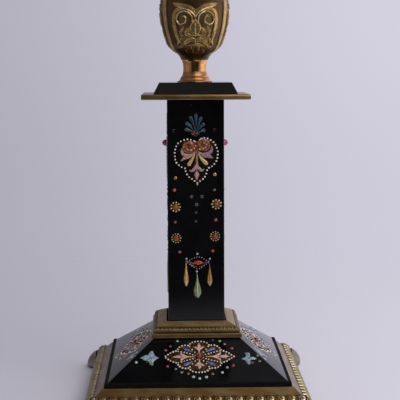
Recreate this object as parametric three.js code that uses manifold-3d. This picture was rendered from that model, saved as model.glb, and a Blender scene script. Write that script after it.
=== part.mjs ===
// Candle holder: a square black stone column on a sloped stone base, framed in gilt brass mouldings,
// with raised enamel ornaments on its faces and a bronze urn on top that takes a loose drip pan.
// Millimetres, +Z up, the origin on the floor under the middle, the front towards -Y.
import * as THREE from "three";
import { mergeVertices } from "three/addons/utils/BufferGeometryUtils.js";
import Module from "manifold-3d";

const wasm = await Module();
wasm.setup();

// Heights above the floor
const FRAME_BOTTOM = 7;
const FRAME_STEP = 11;
const FRAME_LEDGE = 14;
const FRAME_TOP = 21;
const STONE_EDGE = 24;
const STONE_TOP = 46.6;
const COLLAR_TOP = 56.6;
const COLUMN_TOP = 210.6;
const PLATE_TOP = 214.3;
const CAP_TOP = 222.1;
const STEM_TOP = 237.4;
const URN_FLOOR = 243;
const URN_TOP = 284;
const RIM_TOP = 290;
const PAN_EDGE = 296.4;
const NOZZLE_TOP = 304;

// Half widths of the square pieces
const SLAB_HALF = 62.5;
const SLOPE_HALF = 60;
const STONE_TOP_HALF = 29.65;
const COLLAR_HALF = 31;
const COLLAR_INNER = 20.9;
const COLUMN_HALF = 19.6;
const PLATE_HALF = 36.8;
const CAP_BOTTOM_HALF = 28.75;
const CAP_TOP_HALF = 24.75;
const FRAME_INNER = 62.9;
const FRAME_HALF = 76.5;
const UNDER_PLATE_HALF = 60.6;

// Films and clearances: SEAT is solder or cement, MITRE the saw cut at a corner, CLEAR a loose fit
const SEAT = 0.1;
const MITRE = 0.15;
const CLEAR = 0.3;

// The iron rod that ties the stack together
const ROD_RADIUS = 3;
const ROD_HOLE = 3.6;
const STONE_HOLE = 5;
const NUT_ACROSS = 10;
const NUT_HEIGHT = 4.8;
const WASHER_RADIUS = 9;
const WASHER_THICK = 1.2;
const ROD_BOTTOM = 2.2;

// The candle and the tube that holds it
const CANDLE_RADIUS = 11;
const NOZZLE_INNER = CANDLE_RADIUS + 0.25;
const NOZZLE_OUTER = 12.4;
const NOZZLE_FLOOR = 277.5;
const SOCKET_INNER = NOZZLE_OUTER + 0.5;
const PAN_RADIUS = 30.8;

// Stone, metal and enamel
const blackStone = new THREE.MeshStandardMaterial({ color: 0x0d0d0f, roughness: 0.12 });
const giltBrass = new THREE.MeshStandardMaterial({ color: 0x8a6a34, roughness: 0.38, metalness: 1 });
const copperGilt = new THREE.MeshStandardMaterial({ color: 0xc9823f, roughness: 0.25, metalness: 1 });
const bronze = new THREE.MeshStandardMaterial({ color: 0x6f5c2c, roughness: 0.42, metalness: 1 });
const iron = new THREE.MeshStandardMaterial({ color: 0x4a4744, roughness: 0.6, metalness: 1 });
const brownEnamel = new THREE.MeshStandardMaterial({ color: 0x4a2c14, roughness: 0.3 });
const tealEnamel = new THREE.MeshStandardMaterial({ color: 0x3f7f88, roughness: 0.3 });
const goldEnamel = new THREE.MeshStandardMaterial({ color: 0xb98c3a, roughness: 0.3 });
const pinkGlass = new THREE.MeshStandardMaterial({ color: 0xa0285c, roughness: 0.1 });

const part = new THREE.Group();

// Closed meshes to solids and back, for the pieces that are cut or joined
const toSolid = (geometry) => {
  const bare = geometry.clone();
  bare.deleteAttribute("normal");
  bare.deleteAttribute("uv");
  const merged = mergeVertices(bare, 1e-4);
  const mesh = new wasm.Mesh({
    numProp: 3,
    vertProperties: merged.attributes.position.array,
    triVerts: new Uint32Array(merged.index.array),
  });
  return new wasm.Manifold(mesh);
};

const toGeometry = (solid) => {
  const mesh = solid.getMesh();
  const geometry = new THREE.BufferGeometry();
  geometry.setAttribute("position", new THREE.BufferAttribute(mesh.vertProperties, 3));
  geometry.setIndex(new THREE.BufferAttribute(mesh.triVerts, 1));
  return geometry;
};

const piece = (name, geometry, material, parent = part) => {
  const mesh = new THREE.Mesh(geometry, material);
  mesh.name = name;
  parent.add(mesh);
  return mesh;
};

// A profile of [radius, height] points turned about the vertical axis
const turned = (profile, segments = 40) => {
  const points = profile.map(([radius, height]) => new THREE.Vector2(radius, height));
  return new THREE.LatheGeometry(points, segments).rotateX(Math.PI / 2);
};

// The same profile on a square plan: the radius is the distance from the middle to a side
const squared = (profile) => {
  const corners = profile.map(([half, height]) => [half * Math.SQRT2, height]);
  return turned(corners, 4).rotateZ(Math.PI / 4);
};

const rod = (radius, bottom, top, sides = 20) => {
  const height = top - bottom;
  return new THREE.CylinderGeometry(radius, radius, height, sides)
    .rotateX(Math.PI / 2)
    .translate(0, 0, bottom + height / 2);
};

const bored = (geometry, radius) => {
  geometry.computeBoundingBox();
  const { min, max } = geometry.boundingBox;
  const bit = rod(radius, min.z - 1, max.z + 1, 16);
  return toGeometry(toSolid(geometry).subtract(toSolid(bit)));
};

// The four sides, each a quarter turn on from the front
const SIDES = ["front", "right", "rear", "left"];
const sideGroups = SIDES.map((side, quarter) => {
  const group = new THREE.Group();
  group.rotation.z = (quarter * Math.PI) / 2;
  part.add(group);
  return group;
});
const onEverySide = (name, geometry, material) =>
  SIDES.forEach((side, quarter) => piece(`${name}_${side}`, geometry, material, sideGroups[quarter]));

// A straight moulding with a mitre at each end: at a mitre a point lies as far along as it lies out
const mitredRail = (profile) => {
  const outline = new THREE.Shape(profile.map(([out, height]) => new THREE.Vector2(-out, height)));
  const bar = new THREE.ExtrudeGeometry(outline, { depth: 2, bevelEnabled: false });
  const points = bar.attributes.position;
  for (let i = 0; i < points.count; i += 1) {
    const out = -points.getX(i);
    const end = points.getZ(i) > 1 ? 1 : -1;
    points.setXYZ(i, end * (out - MITRE), -out, points.getY(i));
  }
  return bar;
};

// Base frame: a band sloping down from the stone, a row of eggs on a quarter round, a foot fillet,
// a ledge that carries the stone and a step for the iron plate underneath
const OVOLO = { out: 69.5, height: 11, ground: 5, crown: 6.2 };
const ovoloPoint = (degrees) => {
  const angle = THREE.MathUtils.degToRad(degrees);
  return [
    OVOLO.out + OVOLO.ground * Math.cos(angle),
    OVOLO.height + OVOLO.ground * Math.sin(angle),
  ];
};
const LEDGE_INNER = 57;
const FOOT_INNER = 61;
const frameProfile = [
  [FOOT_INNER, FRAME_BOTTOM],
  [FRAME_HALF, FRAME_BOTTOM],
  [FRAME_HALF, 9.3],
  [75.3, 9.9],
  ovoloPoint(0),
  ovoloPoint(45),
  ovoloPoint(90),
  [68.2, 16.3],
  [68, 17.1],
  [67.3, 17.3],
  [FRAME_INNER + 0.6, FRAME_TOP],
  [FRAME_INNER, FRAME_TOP],
  [FRAME_INNER, FRAME_LEDGE],
  [LEDGE_INNER, FRAME_LEDGE],
  [LEDGE_INNER, FRAME_STEP],
  [FOOT_INNER, FRAME_STEP],
];

const EGG_PITCH = 6.9;
const EGG_HALF_WIDTH = 2.5;
const EGG_HALF_LENGTH = 4.7;
const EGG_SINK = 4;
const egg = new THREE.SphereGeometry(1, 6, 3)
  .rotateX(Math.PI / 2)
  .scale(EGG_HALF_WIDTH, OVOLO.crown - EGG_SINK, EGG_HALF_LENGTH)
  .rotateX(-Math.PI / 4)
  .translate(0, -OVOLO.out - EGG_SINK * Math.SQRT1_2, OVOLO.height + EGG_SINK * Math.SQRT1_2);
const eggsPerSide = 2 * Math.floor(OVOLO.out / EGG_PITCH) + 1;
let frameRail = toSolid(mitredRail(frameProfile));
for (let i = 0; i < eggsPerSide; i += 1) {
  const along = (i - (eggsPerSide - 1) / 2) * EGG_PITCH;
  frameRail = frameRail.add(toSolid(egg.clone().translate(along, 0, 0)));
}
// The last eggs at each end are sawn through with the mitre
const beyond = FRAME_HALF + 2;
const mitreWedge = new THREE.ExtrudeGeometry(
  new THREE.Shape([
    new THREE.Vector2(MITRE - beyond, -beyond),
    new THREE.Vector2(beyond - MITRE, -beyond),
    new THREE.Vector2(0, -MITRE),
  ]),
  { depth: FRAME_TOP + 2, bevelEnabled: false },
);
frameRail = frameRail.intersect(toSolid(mitreWedge));
onEverySide("base_rail", toGeometry(frameRail), giltBrass);

// Feet: cast domes, notched so that each takes a corner of the frame
const FOOT_CENTRE = 71;
const footProfile = [
  [0, 0],
  [11.2, 0],
  [12.4, 1.4],
  [12.6, 3.6],
  [11.4, 6.9],
  [9.4, 9.6],
  [6.6, 12],
  [0, 13.4],
];
const notchSize = FRAME_HALF + CLEAR;
const notch = new THREE.BoxGeometry(notchSize, notchSize, 10).translate(
  notchSize / 2,
  notchSize / 2,
  FRAME_BOTTOM - SEAT + 5,
);
const foot = toSolid(turned(footProfile, 18).translate(FOOT_CENTRE, FOOT_CENTRE, 0)).subtract(toSolid(notch));
const FEET = ["rear_right", "rear_left", "front_left", "front_right"];
FEET.forEach((place, quarter) => {
  const mesh = piece(`foot_${place}`, toGeometry(foot), giltBrass);
  mesh.rotation.z = (quarter * Math.PI) / 2;
});

// Stone base: a slab with a narrow ledge and four slopes up to the flat under the column
const STONE_EASE = 0.5;
const baseStone = squared([
  [0, FRAME_LEDGE + SEAT],
  [SLAB_HALF, FRAME_LEDGE + SEAT],
  [SLAB_HALF, STONE_EDGE - STONE_EASE],
  [SLAB_HALF - STONE_EASE, STONE_EDGE],
  [SLOPE_HALF, STONE_EDGE],
  [STONE_TOP_HALF, STONE_TOP],
  [0, STONE_TOP],
]);
piece("base_stone", bored(baseStone, STONE_HOLE), blackStone);

// Iron plate, washer and nut under the stone
const UNDER_PLATE_THICK = 2;
const underPlateTop = FRAME_STEP - SEAT;
const underPlateBottom = underPlateTop - UNDER_PLATE_THICK;
const underPlate = squared([
  [0, underPlateBottom],
  [UNDER_PLATE_HALF, underPlateBottom],
  [UNDER_PLATE_HALF, underPlateTop],
  [0, underPlateTop],
]);
piece("under_plate", bored(underPlate, ROD_HOLE), iron);
const washerTop = underPlateBottom - SEAT;
const washerBottom = washerTop - WASHER_THICK;
piece("rod_washer", bored(rod(WASHER_RADIUS, washerBottom, washerTop, 28), ROD_HOLE), iron);
const nutRadius = NUT_ACROSS / Math.sqrt(3);
const nutAt = (bottom) => bored(rod(nutRadius, bottom, bottom + NUT_HEIGHT, 6), ROD_RADIUS + SEAT);
piece("rod_nut_lower", nutAt(washerBottom - SEAT - NUT_HEIGHT), iron);
const upperNutBottom = URN_FLOOR + SEAT;
piece("rod_nut_upper", nutAt(upperNutBottom), iron);
const ROD_PAST_NUT = 2;
const rodTop = upperNutBottom + NUT_HEIGHT + ROD_PAST_NUT;
piece("tie_rod", rod(ROD_RADIUS, ROD_BOTTOM, rodTop), iron);

// Collar round the foot of the column: plain foot band, a groove, a leaf row and a sloping band
const collarProfile = [
  [COLLAR_INNER, STONE_TOP + SEAT],
  [COLLAR_HALF, STONE_TOP + SEAT],
  [COLLAR_HALF, 49.4],
  [30.4, 50.2],
  [29.7, 50.4],
  [29.9, 51],
  [29.7, 52.1],
  [28.8, 53.2],
  [27.4, 53.7],
  [26.9, 54.2],
  [COLLAR_INNER + 0.6, COLLAR_TOP],
  [COLLAR_INNER, COLLAR_TOP],
];
onEverySide("collar_rail", mitredRail(collarProfile), giltBrass);

// Column: a straight square shaft with the finest of chamfers on its edges
const CHAMFER = 0.35;
const columnOutline = new THREE.Shape();
const inner = COLUMN_HALF - CHAMFER;
columnOutline.moveTo(-inner, -COLUMN_HALF);
columnOutline.lineTo(inner, -COLUMN_HALF);
columnOutline.lineTo(COLUMN_HALF, -inner);
columnOutline.lineTo(COLUMN_HALF, inner);
columnOutline.lineTo(inner, COLUMN_HALF);
columnOutline.lineTo(-inner, COLUMN_HALF);
columnOutline.lineTo(-COLUMN_HALF, inner);
columnOutline.lineTo(-COLUMN_HALF, -inner);
columnOutline.closePath();
const columnBottom = STONE_TOP + SEAT;
const shaft = new THREE.ExtrudeGeometry(columnOutline, {
  depth: COLUMN_TOP - columnBottom,
  bevelEnabled: false,
}).translate(0, 0, columnBottom);
piece("column", bored(shaft, STONE_HOLE), blackStone);

// Thin gilt plate on the column, with its edges eased
const plateBottom = COLUMN_TOP + SEAT;
const EASE = 0.5;
const plate = squared([
  [0, plateBottom],
  [PLATE_HALF - EASE, plateBottom],
  [PLATE_HALF, plateBottom + EASE],
  [PLATE_HALF, PLATE_TOP - EASE],
  [PLATE_HALF - EASE, PLATE_TOP],
  [0, PLATE_TOP],
]);
piece("capital_plate", bored(plate, ROD_HOLE), giltBrass);

// Black stone block with sloping sides that carries the stem
const capBlock = squared([
  [0, PLATE_TOP + SEAT],
  [CAP_BOTTOM_HALF, PLATE_TOP + SEAT],
  [CAP_TOP_HALF, CAP_TOP],
  [0, CAP_TOP],
]);
piece("cap_block", bored(capBlock, STONE_HOLE), blackStone);

// Copper-gilt stem: a waisted spool over a small ring and a flared foot, threaded over the rod
const stemBottom = CAP_TOP + SEAT;
const stemProfile = [
  [ROD_HOLE, stemBottom],
  [12.3, stemBottom],
  [12.4, 222.7],
  [11.1, 223],
  [10.4, 223.8],
  [9.8, 225.1],
  [9.7, 225.7],
  [8.9, 226.4],
  [8.2, 229],
  [8.1, 231.8],
  [8.3, 234.6],
  [9.1, STEM_TOP],
  [ROD_HOLE, STEM_TOP],
  [ROD_HOLE, stemBottom],
];
piece("stem", turned(stemProfile, 20), copperGilt);

// Urn: a cast bronze cup, its wall rising from a thick floor that the rod passes through
const URN_SEGMENTS = 32;
const urnOutside = [
  [9.4, STEM_TOP + SEAT],
  [10.3, 239.3],
  [12, 241.5],
  [14.9, 243.7],
  [17, 245.8],
  [18.4, 248],
  [19.6, 251.5],
  [21, 255.5],
  [22.2, 260],
  [23, 265],
  [23.5, 270],
  [23.6, 274.5],
  [23.4, 279],
  [22.9, URN_TOP],
];
const urnInside = [
  [20.4, URN_TOP],
  [20.9, 271],
  [19.6, 259],
  [16.6, 250.5],
  [12, 244.6],
  [9, URN_FLOOR],
  [ROD_HOLE, URN_FLOOR],
  [ROD_HOLE, STEM_TOP + SEAT],
];
let urn = toSolid(turned([...urnOutside, ...urnInside, urnOutside[0]], URN_SEGMENTS));

// Three upright ribs divide the urn into panels: each widens upwards and stands proud of the wall
const RIB = { proud: 1.1, root: 1, bottom: 240, widest: 262, top: 280, bottomHalf: 1.2, topHalf: 2.3 };
const ribHeights = urnOutside.filter(([, height]) => height > RIB.bottom && height < RIB.top);
const ribRing = toSolid(
  turned(
    [
      ...ribHeights.map(([radius, height]) => [radius + RIB.proud, height]),
      ...ribHeights.map(([radius, height]) => [radius - RIB.root, height]).reverse(),
      [ribHeights[0][0] + RIB.proud, ribHeights[0][1]],
    ],
    URN_SEGMENTS,
  ),
);
const ribSlab = new THREE.ExtrudeGeometry(
  new THREE.Shape([
    new THREE.Vector2(-RIB.bottomHalf, RIB.bottom),
    new THREE.Vector2(RIB.bottomHalf, RIB.bottom),
    new THREE.Vector2(RIB.topHalf, RIB.widest),
    new THREE.Vector2(RIB.topHalf, RIB.top),
    new THREE.Vector2(-RIB.topHalf, RIB.top),
    new THREE.Vector2(-RIB.topHalf, RIB.widest),
  ]),
  { depth: PAN_RADIUS, bevelEnabled: false },
).rotateX(Math.PI / 2);
const RIB_ANGLES = [60, 180, 300];
RIB_ANGLES.forEach((degrees) => {
  const slab = ribSlab.clone().rotateZ(THREE.MathUtils.degToRad(degrees));
  urn = urn.add(ribRing.intersect(toSolid(slab)));
});
piece("urn_body", toGeometry(urn), bronze);

// Turned ring that closes the urn and guides the candle tube
const urnRimProfile = [
  [SOCKET_INNER, 277],
  [14.5, 277],
  [14.5, 281.5],
  [20, 281.5],
  [20, URN_TOP + SEAT],
  [23.2, URN_TOP + SEAT],
  [24.4, 285.5],
  [24.3, 286.8],
  [22.4, 288.2],
  [22.1, RIM_TOP],
  [SOCKET_INNER, RIM_TOP],
  [SOCKET_INNER, 277],
];
piece("urn_rim", turned(urnRimProfile, URN_SEGMENTS), bronze);

// Loose drip pan: a shallow dish with the candle tube through its middle
const panBottom = RIM_TOP + CLEAR;
const PAN_THICK = 1.2;
const dripPanProfile = [
  [0, NOZZLE_FLOOR - 1.5],
  [NOZZLE_OUTER, NOZZLE_FLOOR - 1.5],
  [NOZZLE_OUTER, panBottom],
  [24, panBottom],
  [27.6, panBottom + 1],
  [29.8, panBottom + 3.4],
  [PAN_RADIUS, PAN_EDGE - 0.6],
  [30.2, PAN_EDGE],
  [28.6, panBottom + 3.9],
  [26.8, panBottom + PAN_THICK + 0.8],
  [24, panBottom + PAN_THICK],
  [NOZZLE_OUTER, panBottom + PAN_THICK],
  [NOZZLE_OUTER, 300.5],
  [14.6, 302.2],
  [14.6, NOZZLE_TOP - 0.4],
  [NOZZLE_OUTER, NOZZLE_TOP],
  [NOZZLE_INNER, 302.6],
  [NOZZLE_INNER, NOZZLE_FLOOR],
  [0, NOZZLE_FLOOR],
];
piece("drip_pan", turned(dripPanProfile, URN_SEGMENTS), giltBrass);

// Enamel ornaments: thin pieces cemented to the stone, the larger ones with a raised rim round a ground
const RAISED = 0.7;
const GROUND = 0.4;
const CURVE_STEPS = 4;
const enamel = (shape, depth = RAISED) =>
  new THREE.ExtrudeGeometry(shape, { depth, bevelEnabled: false, curveSegments: CURVE_STEPS });

// The rim is the outline less the same outline drawn in towards the middle
const HEART_RIM = 0.1;
const MEDALLION_RIM = 0.08;
const rimmed = (shape, middle, rimShare) => {
  const outline = shape.getPoints(CURVE_STEPS);
  const drawnIn = outline.map((point) => point.clone().sub(middle).multiplyScalar(1 - rimShare).add(middle));
  const rim = new THREE.Shape(outline);
  rim.holes.push(new THREE.Path(drawnIn.reverse()));
  const ground = new THREE.Shape(outline);
  return toGeometry(toSolid(enamel(rim, RAISED)).add(toSolid(enamel(ground, GROUND))));
};

// Column faces: shapes are drawn with x across the face and y as the height above the floor
const columnFace = (geometry) =>
  geometry.rotateX(Math.PI / 2).translate(0, -COLUMN_HALF - SEAT, 0);

const HEART = { notch: 182.6, lobe: 184, side: 173, waist: 163.6, tip: 152.4, half: 15 };
const heartShape = new THREE.Shape();
heartShape.moveTo(0, HEART.notch);
heartShape.bezierCurveTo(3, HEART.lobe + 1, HEART.half, HEART.lobe + 0.5, HEART.half, HEART.side);
heartShape.bezierCurveTo(HEART.half, 167.5, 9.6, 167, 8, HEART.waist);
heartShape.bezierCurveTo(7, 159.6, 2.4, 157, 0, HEART.tip);
heartShape.bezierCurveTo(-2.4, 157, -7, 159.6, -8, HEART.waist);
heartShape.bezierCurveTo(-9.6, 167, -HEART.half, 167.5, -HEART.half, HEART.side);
heartShape.bezierCurveTo(-HEART.half, HEART.lobe + 0.5, -3, HEART.lobe + 1, 0, HEART.notch);
const heartMiddle = new THREE.Vector2(0, (HEART.waist + HEART.side) / 2);
onEverySide("heart", columnFace(rimmed(heartShape, heartMiddle, HEART_RIM)), brownEnamel);

// Palmette of seven petals fanned from a small base over the heart
const PALMETTE_BASE = 187;
const PETALS = [
  { lean: 0, length: 14 },
  { lean: 17, length: 12.6 },
  { lean: 36, length: 9.8 },
  { lean: 62, length: 7.2 },
];
const petalShape = (lean, length) => {
  const angle = THREE.MathUtils.degToRad(90 - lean);
  const place = (along, across) =>
    new THREE.Vector2(
      along * Math.cos(angle) - across * Math.sin(angle),
      PALMETTE_BASE + along * Math.sin(angle) + across * Math.cos(angle),
    );
  const half = 1.15;
  return new THREE.Shape([
    place(-0.8, -0.5),
    place(length * 0.8, -half),
    place(length, 0),
    place(length * 0.8, half),
    place(-0.8, 0.5),
  ]);
};
const circle = (x, y, radius) => {
  const shape = new THREE.Shape();
  shape.absarc(x, y, radius, 0, 2 * Math.PI, false);
  return shape;
};
let palmette = toSolid(enamel(circle(0, PALMETTE_BASE, 1.7)));
PETALS.forEach(({ lean, length }) => {
  const leans = lean === 0 ? [0] : [lean, -lean];
  leans.forEach((side) => {
    palmette = palmette.add(toSolid(enamel(petalShape(side, length))));
  });
});
onEverySide("palmette", columnFace(toGeometry(palmette)), tealEnamel);

// Pendant: an almond with three hanging drops
const EYE = { x: 1, y: 97.7, half: 8, rise: 4.6 };
const eyeShape = new THREE.Shape();
eyeShape.moveTo(EYE.x - EYE.half, EYE.y);
eyeShape.quadraticCurveTo(EYE.x, EYE.y + 2 * EYE.rise, EYE.x + EYE.half, EYE.y);
eyeShape.quadraticCurveTo(EYE.x, EYE.y - 2 * EYE.rise, EYE.x - EYE.half, EYE.y);
const dropShape = ({ x, top, bottom, half }) => {
  const shape = new THREE.Shape();
  const middle = bottom + half;
  shape.moveTo(x - 0.5, top);
  shape.bezierCurveTo(x - 0.6, top - 5, x - half, middle + 3.5, x - half, middle);
  shape.bezierCurveTo(x - half, bottom - 0.3, x + half, bottom - 0.3, x + half, middle);
  shape.bezierCurveTo(x + half, middle + 3.5, x + 0.6, top - 5, x + 0.5, top);
  return shape;
};
const SIDE_DROP = { top: 98.3, bottom: 81.2, half: 1.8 };
const DROPS = [
  { ...SIDE_DROP, x: EYE.x - EYE.half },
  { ...SIDE_DROP, x: EYE.x + EYE.half },
  { x: EYE.x - 0.3, top: 93.7, bottom: 73, half: 2.4 },
];
let pendant = toSolid(enamel(eyeShape));
DROPS.forEach((drop) => {
  pendant = pendant.add(toSolid(enamel(dropShape(drop))));
});
onEverySide("pendant", columnFace(toGeometry(pendant)), goldEnamel);

// Glass cabochons at the middle of the hearts on the two side faces
const CABOCHON = { height: 179.8, radius: 2.4, proud: 2.8 };
const cabochon = turned(
  [
    [0, 0],
    [CABOCHON.radius, 0],
    [CABOCHON.radius, CABOCHON.proud * 0.35],
    [CABOCHON.radius * 0.75, CABOCHON.proud * 0.8],
    [0, CABOCHON.proud],
  ],
  14,
)
  .rotateX(Math.PI / 2)
  .translate(0, -COLUMN_HALF - RAISED - 2 * SEAT, CABOCHON.height);
["right", "left"].forEach((side) => {
  piece(`cabochon_${side}`, cabochon, pinkGlass, sideGroups[SIDES.indexOf(side)]);
});

// Slopes of the base: x across, y up the slope from its lower edge
const slopeAngle = Math.atan2(STONE_TOP - STONE_EDGE, SLOPE_HALF - STONE_TOP_HALF);
const slopeFace = (geometry) =>
  geometry
    .translate(0, 0, SEAT)
    .rotateX(slopeAngle)
    .translate(0, -SLOPE_HALF, STONE_EDGE);

const MEDALLION = { x: 0.8, y: 21.2 };
const medallionQuarter = [
  [24, 0],
  [20.5, 3.4],
  [15, 6.6],
  [10.2, 8],
  [8.2, 10.6],
  [4.6, 13],
  [0, 13.9],
];
const quarters = [[1, 1], [-1, 1], [-1, -1], [1, -1]];
const medallionOutline = quarters.flatMap(([acrossSign, upSign], turn) => {
  const points = medallionQuarter.map(([x, y]) => [acrossSign * x, upSign * y]);
  return (turn % 2 === 0 ? points : points.reverse()).slice(0, -1);
});
const medallionShape = new THREE.Shape(
  medallionOutline.map(([x, y]) => new THREE.Vector2(MEDALLION.x + x, MEDALLION.y + y)),
);
const medallionMiddle = new THREE.Vector2(MEDALLION.x, MEDALLION.y);
onEverySide("medallion", slopeFace(rimmed(medallionShape, medallionMiddle, MEDALLION_RIM)), brownEnamel);

// Four-pointed leaves at each end of a slope
const STAR_X = 33.8;
const STAR_Y = 20.4;
const STAR_POINT = 6.5;
const STAR_WAIST = 2.7;
const starShape = new THREE.Shape(
  Array.from({ length: 8 }, (unused, i) => {
    const angle = (i * Math.PI) / 4;
    const reach = i % 2 === 0 ? STAR_POINT : STAR_WAIST;
    return new THREE.Vector2(reach * Math.cos(angle), reach * Math.sin(angle));
  }),
);
[-1, 1].forEach((hand) => {
  const star = enamel(starShape).translate(hand * STAR_X, STAR_Y, 0);
  onEverySide(`leaf_${hand < 0 ? "left" : "right"}`, slopeFace(star), tealEnamel);
});

export default part;
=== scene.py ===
import contextlib
import math

import bmesh
import bpy
import numpy as np
from mathutils import Matrix, Vector


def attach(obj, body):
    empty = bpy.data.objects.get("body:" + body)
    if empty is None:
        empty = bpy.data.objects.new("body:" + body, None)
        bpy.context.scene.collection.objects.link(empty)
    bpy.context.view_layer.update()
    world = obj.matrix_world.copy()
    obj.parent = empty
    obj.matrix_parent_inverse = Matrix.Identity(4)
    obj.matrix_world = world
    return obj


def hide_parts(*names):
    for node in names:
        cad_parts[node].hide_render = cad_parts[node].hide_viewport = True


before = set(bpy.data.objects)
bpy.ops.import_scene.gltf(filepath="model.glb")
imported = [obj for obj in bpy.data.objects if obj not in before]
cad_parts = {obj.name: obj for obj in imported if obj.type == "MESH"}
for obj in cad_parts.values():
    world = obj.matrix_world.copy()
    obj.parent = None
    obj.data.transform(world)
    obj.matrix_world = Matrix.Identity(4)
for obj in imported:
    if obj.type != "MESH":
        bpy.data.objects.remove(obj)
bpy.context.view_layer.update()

# Shapes are drawn in millimetres and turned to metres as each piece is finished. The front is -Y.
MM = 0.001
bpy.context.scene.view_settings.view_transform = "Standard"

# The view: a long lens nearly level with the top of the column, looking a little down at the base.
EYE = Vector((-16.7, -778.5, 231.5)) * MM
EYE_TURN, EYE_PITCH, EYE_ROLL = math.radians(-1.472), math.radians(6.774), math.radians(-0.243)
LENS = 99.63
camera_data = bpy.data.cameras.new("camera")
camera_data.sensor_width = 36
camera_data.lens = LENS
camera = bpy.data.objects.new("camera", camera_data)
camera.matrix_world = (
    Matrix.Translation(EYE)
    @ Matrix.Rotation(EYE_TURN, 4, "Z")
    @ Matrix.Rotation(math.pi / 2 - EYE_PITCH, 4, "X")
    @ Matrix.Rotation(EYE_ROLL, 4, "Z")
)
bpy.context.scene.collection.objects.link(camera)
bpy.context.scene.camera = camera


# The studio: a pale sweep, darker to the left, that fades into an even pale room. What the polish
# mirrors is the sweep behind, and a dark room in front and overhead. Four soft lamps stand round it.
def feed(tree, node, inputs):
    """Gives a node its inputs. Each is a value or an output of another node."""
    for name, value in inputs.items():
        if isinstance(value, bpy.types.NodeSocket):
            tree.links.new(value, node.inputs[name])
        else:
            node.inputs[name].default_value = value


def add(tree, kind, inputs=None, **settings):
    """The outputs of a new node in a tree. The settings are the node's own choices."""
    node = tree.nodes.new(kind)
    for name, value in settings.items():
        setattr(node, name, value)
    feed(tree, node, inputs or {})
    return node.outputs


def reckoned(tree, operation, *values):
    """The result of one sum on values or outputs of other nodes."""
    return add(tree, "ShaderNodeMath", dict(enumerate(values)), operation=operation)[0]


def mixed(tree, share, low, high):
    """A colour between two colours. The share, low and high are values or outputs of other nodes."""
    return add(tree, "ShaderNodeMix", {0: share, 6: low, 7: high}, data_type="RGBA")[2]


def eased_share(tree, value, start, end, most=1.0):
    """0 where the value is below start, the most where it is past end, and smooth between."""
    inputs = {"Value": value, "From Min": start, "From Max": end, "To Max": most}
    return add(tree, "ShaderNodeMapRange", inputs, interpolation_type="SMOOTHSTEP")["Result"]


def new_finish(name):
    """A new material, its tree and its shader."""
    material = bpy.data.materials.new(name)
    material.use_nodes = True
    return material, material.node_tree, material.node_tree.nodes["Principled BSDF"]


@contextlib.contextmanager
def opened(mesh):
    """A mesh opened for work on its points and faces, and closed again afterwards."""
    shell = bmesh.new()
    shell.from_mesh(mesh)
    yield shell
    shell.to_mesh(mesh)
    shell.free()


SWEEP_LEFT = (0.43, 0.42, 0.49, 1)
SWEEP_RIGHT = (0.66, 0.645, 0.755, 1)
MIRRORED_LEFT = (0.25, 0.245, 0.28, 1)
WALL_LEFT = (0.17, 0.16, 0.165, 1)
WALL_RIGHT = (0.88, 0.85, 0.82, 1)
WALL_RIGHT_HIGH = (0.12, 0.12, 0.12, 1)
ROOM_DARK = (0.02, 0.02, 0.022, 1)
CEILING_RIGHT = (0.15, 0.15, 0.165, 1)
FRONT_GLOW = (0.34, 0.325, 0.32, 1)
FILL_LEFT = (0.16, 0.16, 0.175, 1)
FILL_RIGHT = (0.72, 0.72, 0.74, 1)
world = bpy.data.worlds.new("room")
bpy.context.scene.world = world
world.use_nodes = True
room = world.node_tree
room.nodes.clear()
toward = add(room, "ShaderNodeTexCoord")["Generated"]
ray_right, ray_back, ray_up = add(room, "ShaderNodeSeparateXYZ", {"Vector": toward})

# Seen past the floor: the sweep, a little darker below.
sweep_colour = mixed(room, eased_share(room, ray_right, -0.24, 0.24), SWEEP_LEFT, SWEEP_RIGHT)
sweep_colour = mixed(room, eased_share(room, ray_up, 0.06, -0.12, 0.06), sweep_colour, ROOM_DARK)

# Mirrored: the sweep behind between two walls, a dark ceiling, and a soft glow high in front.
mirrored_sweep = mixed(room, eased_share(room, ray_right, -0.2, 0.24), MIRRORED_LEFT, SWEEP_RIGHT)
left_share = eased_share(room, ray_right, -0.5, -0.72)
right_wall_share = eased_share(room, ray_right, 0.5, 1.05)
wall_right = mixed(room, eased_share(room, ray_up, 0.05, 0.35), WALL_RIGHT, WALL_RIGHT_HIGH)
mirrored_sides = mixed(room, left_share, mirrored_sweep, WALL_LEFT)
mirrored_sides = mixed(room, right_wall_share, mirrored_sides, wall_right)
lit_share = reckoned(
    room, "MULTIPLY", eased_share(room, ray_up, 0.7, 0.95), eased_share(room, ray_right, -0.03, 0.09)
)
ceiling = mixed(room, lit_share, ROOM_DARK, CEILING_RIGHT)
wall_share = reckoned(room, "ADD", left_share, right_wall_share)
wall_share = reckoned(room, "MAXIMUM", wall_share, eased_share(room, ray_back, -0.1, 0.35))
wall_share = reckoned(room, "MULTIPLY", wall_share, eased_share(room, ray_up, 0.85, 0.6))
mirrored_colour = mixed(room, wall_share, ceiling, mirrored_sides)
glow_share = reckoned(
    room, "MULTIPLY", eased_share(room, ray_back, -0.05, -0.18), eased_share(room, ray_up, 0.3, 0.65)
)
glow_share = reckoned(room, "MULTIPLY", glow_share, eased_share(room, ray_back, -0.78, -0.4))
mirrored_colour = mixed(room, glow_share, mirrored_colour, FRONT_GLOW)

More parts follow.
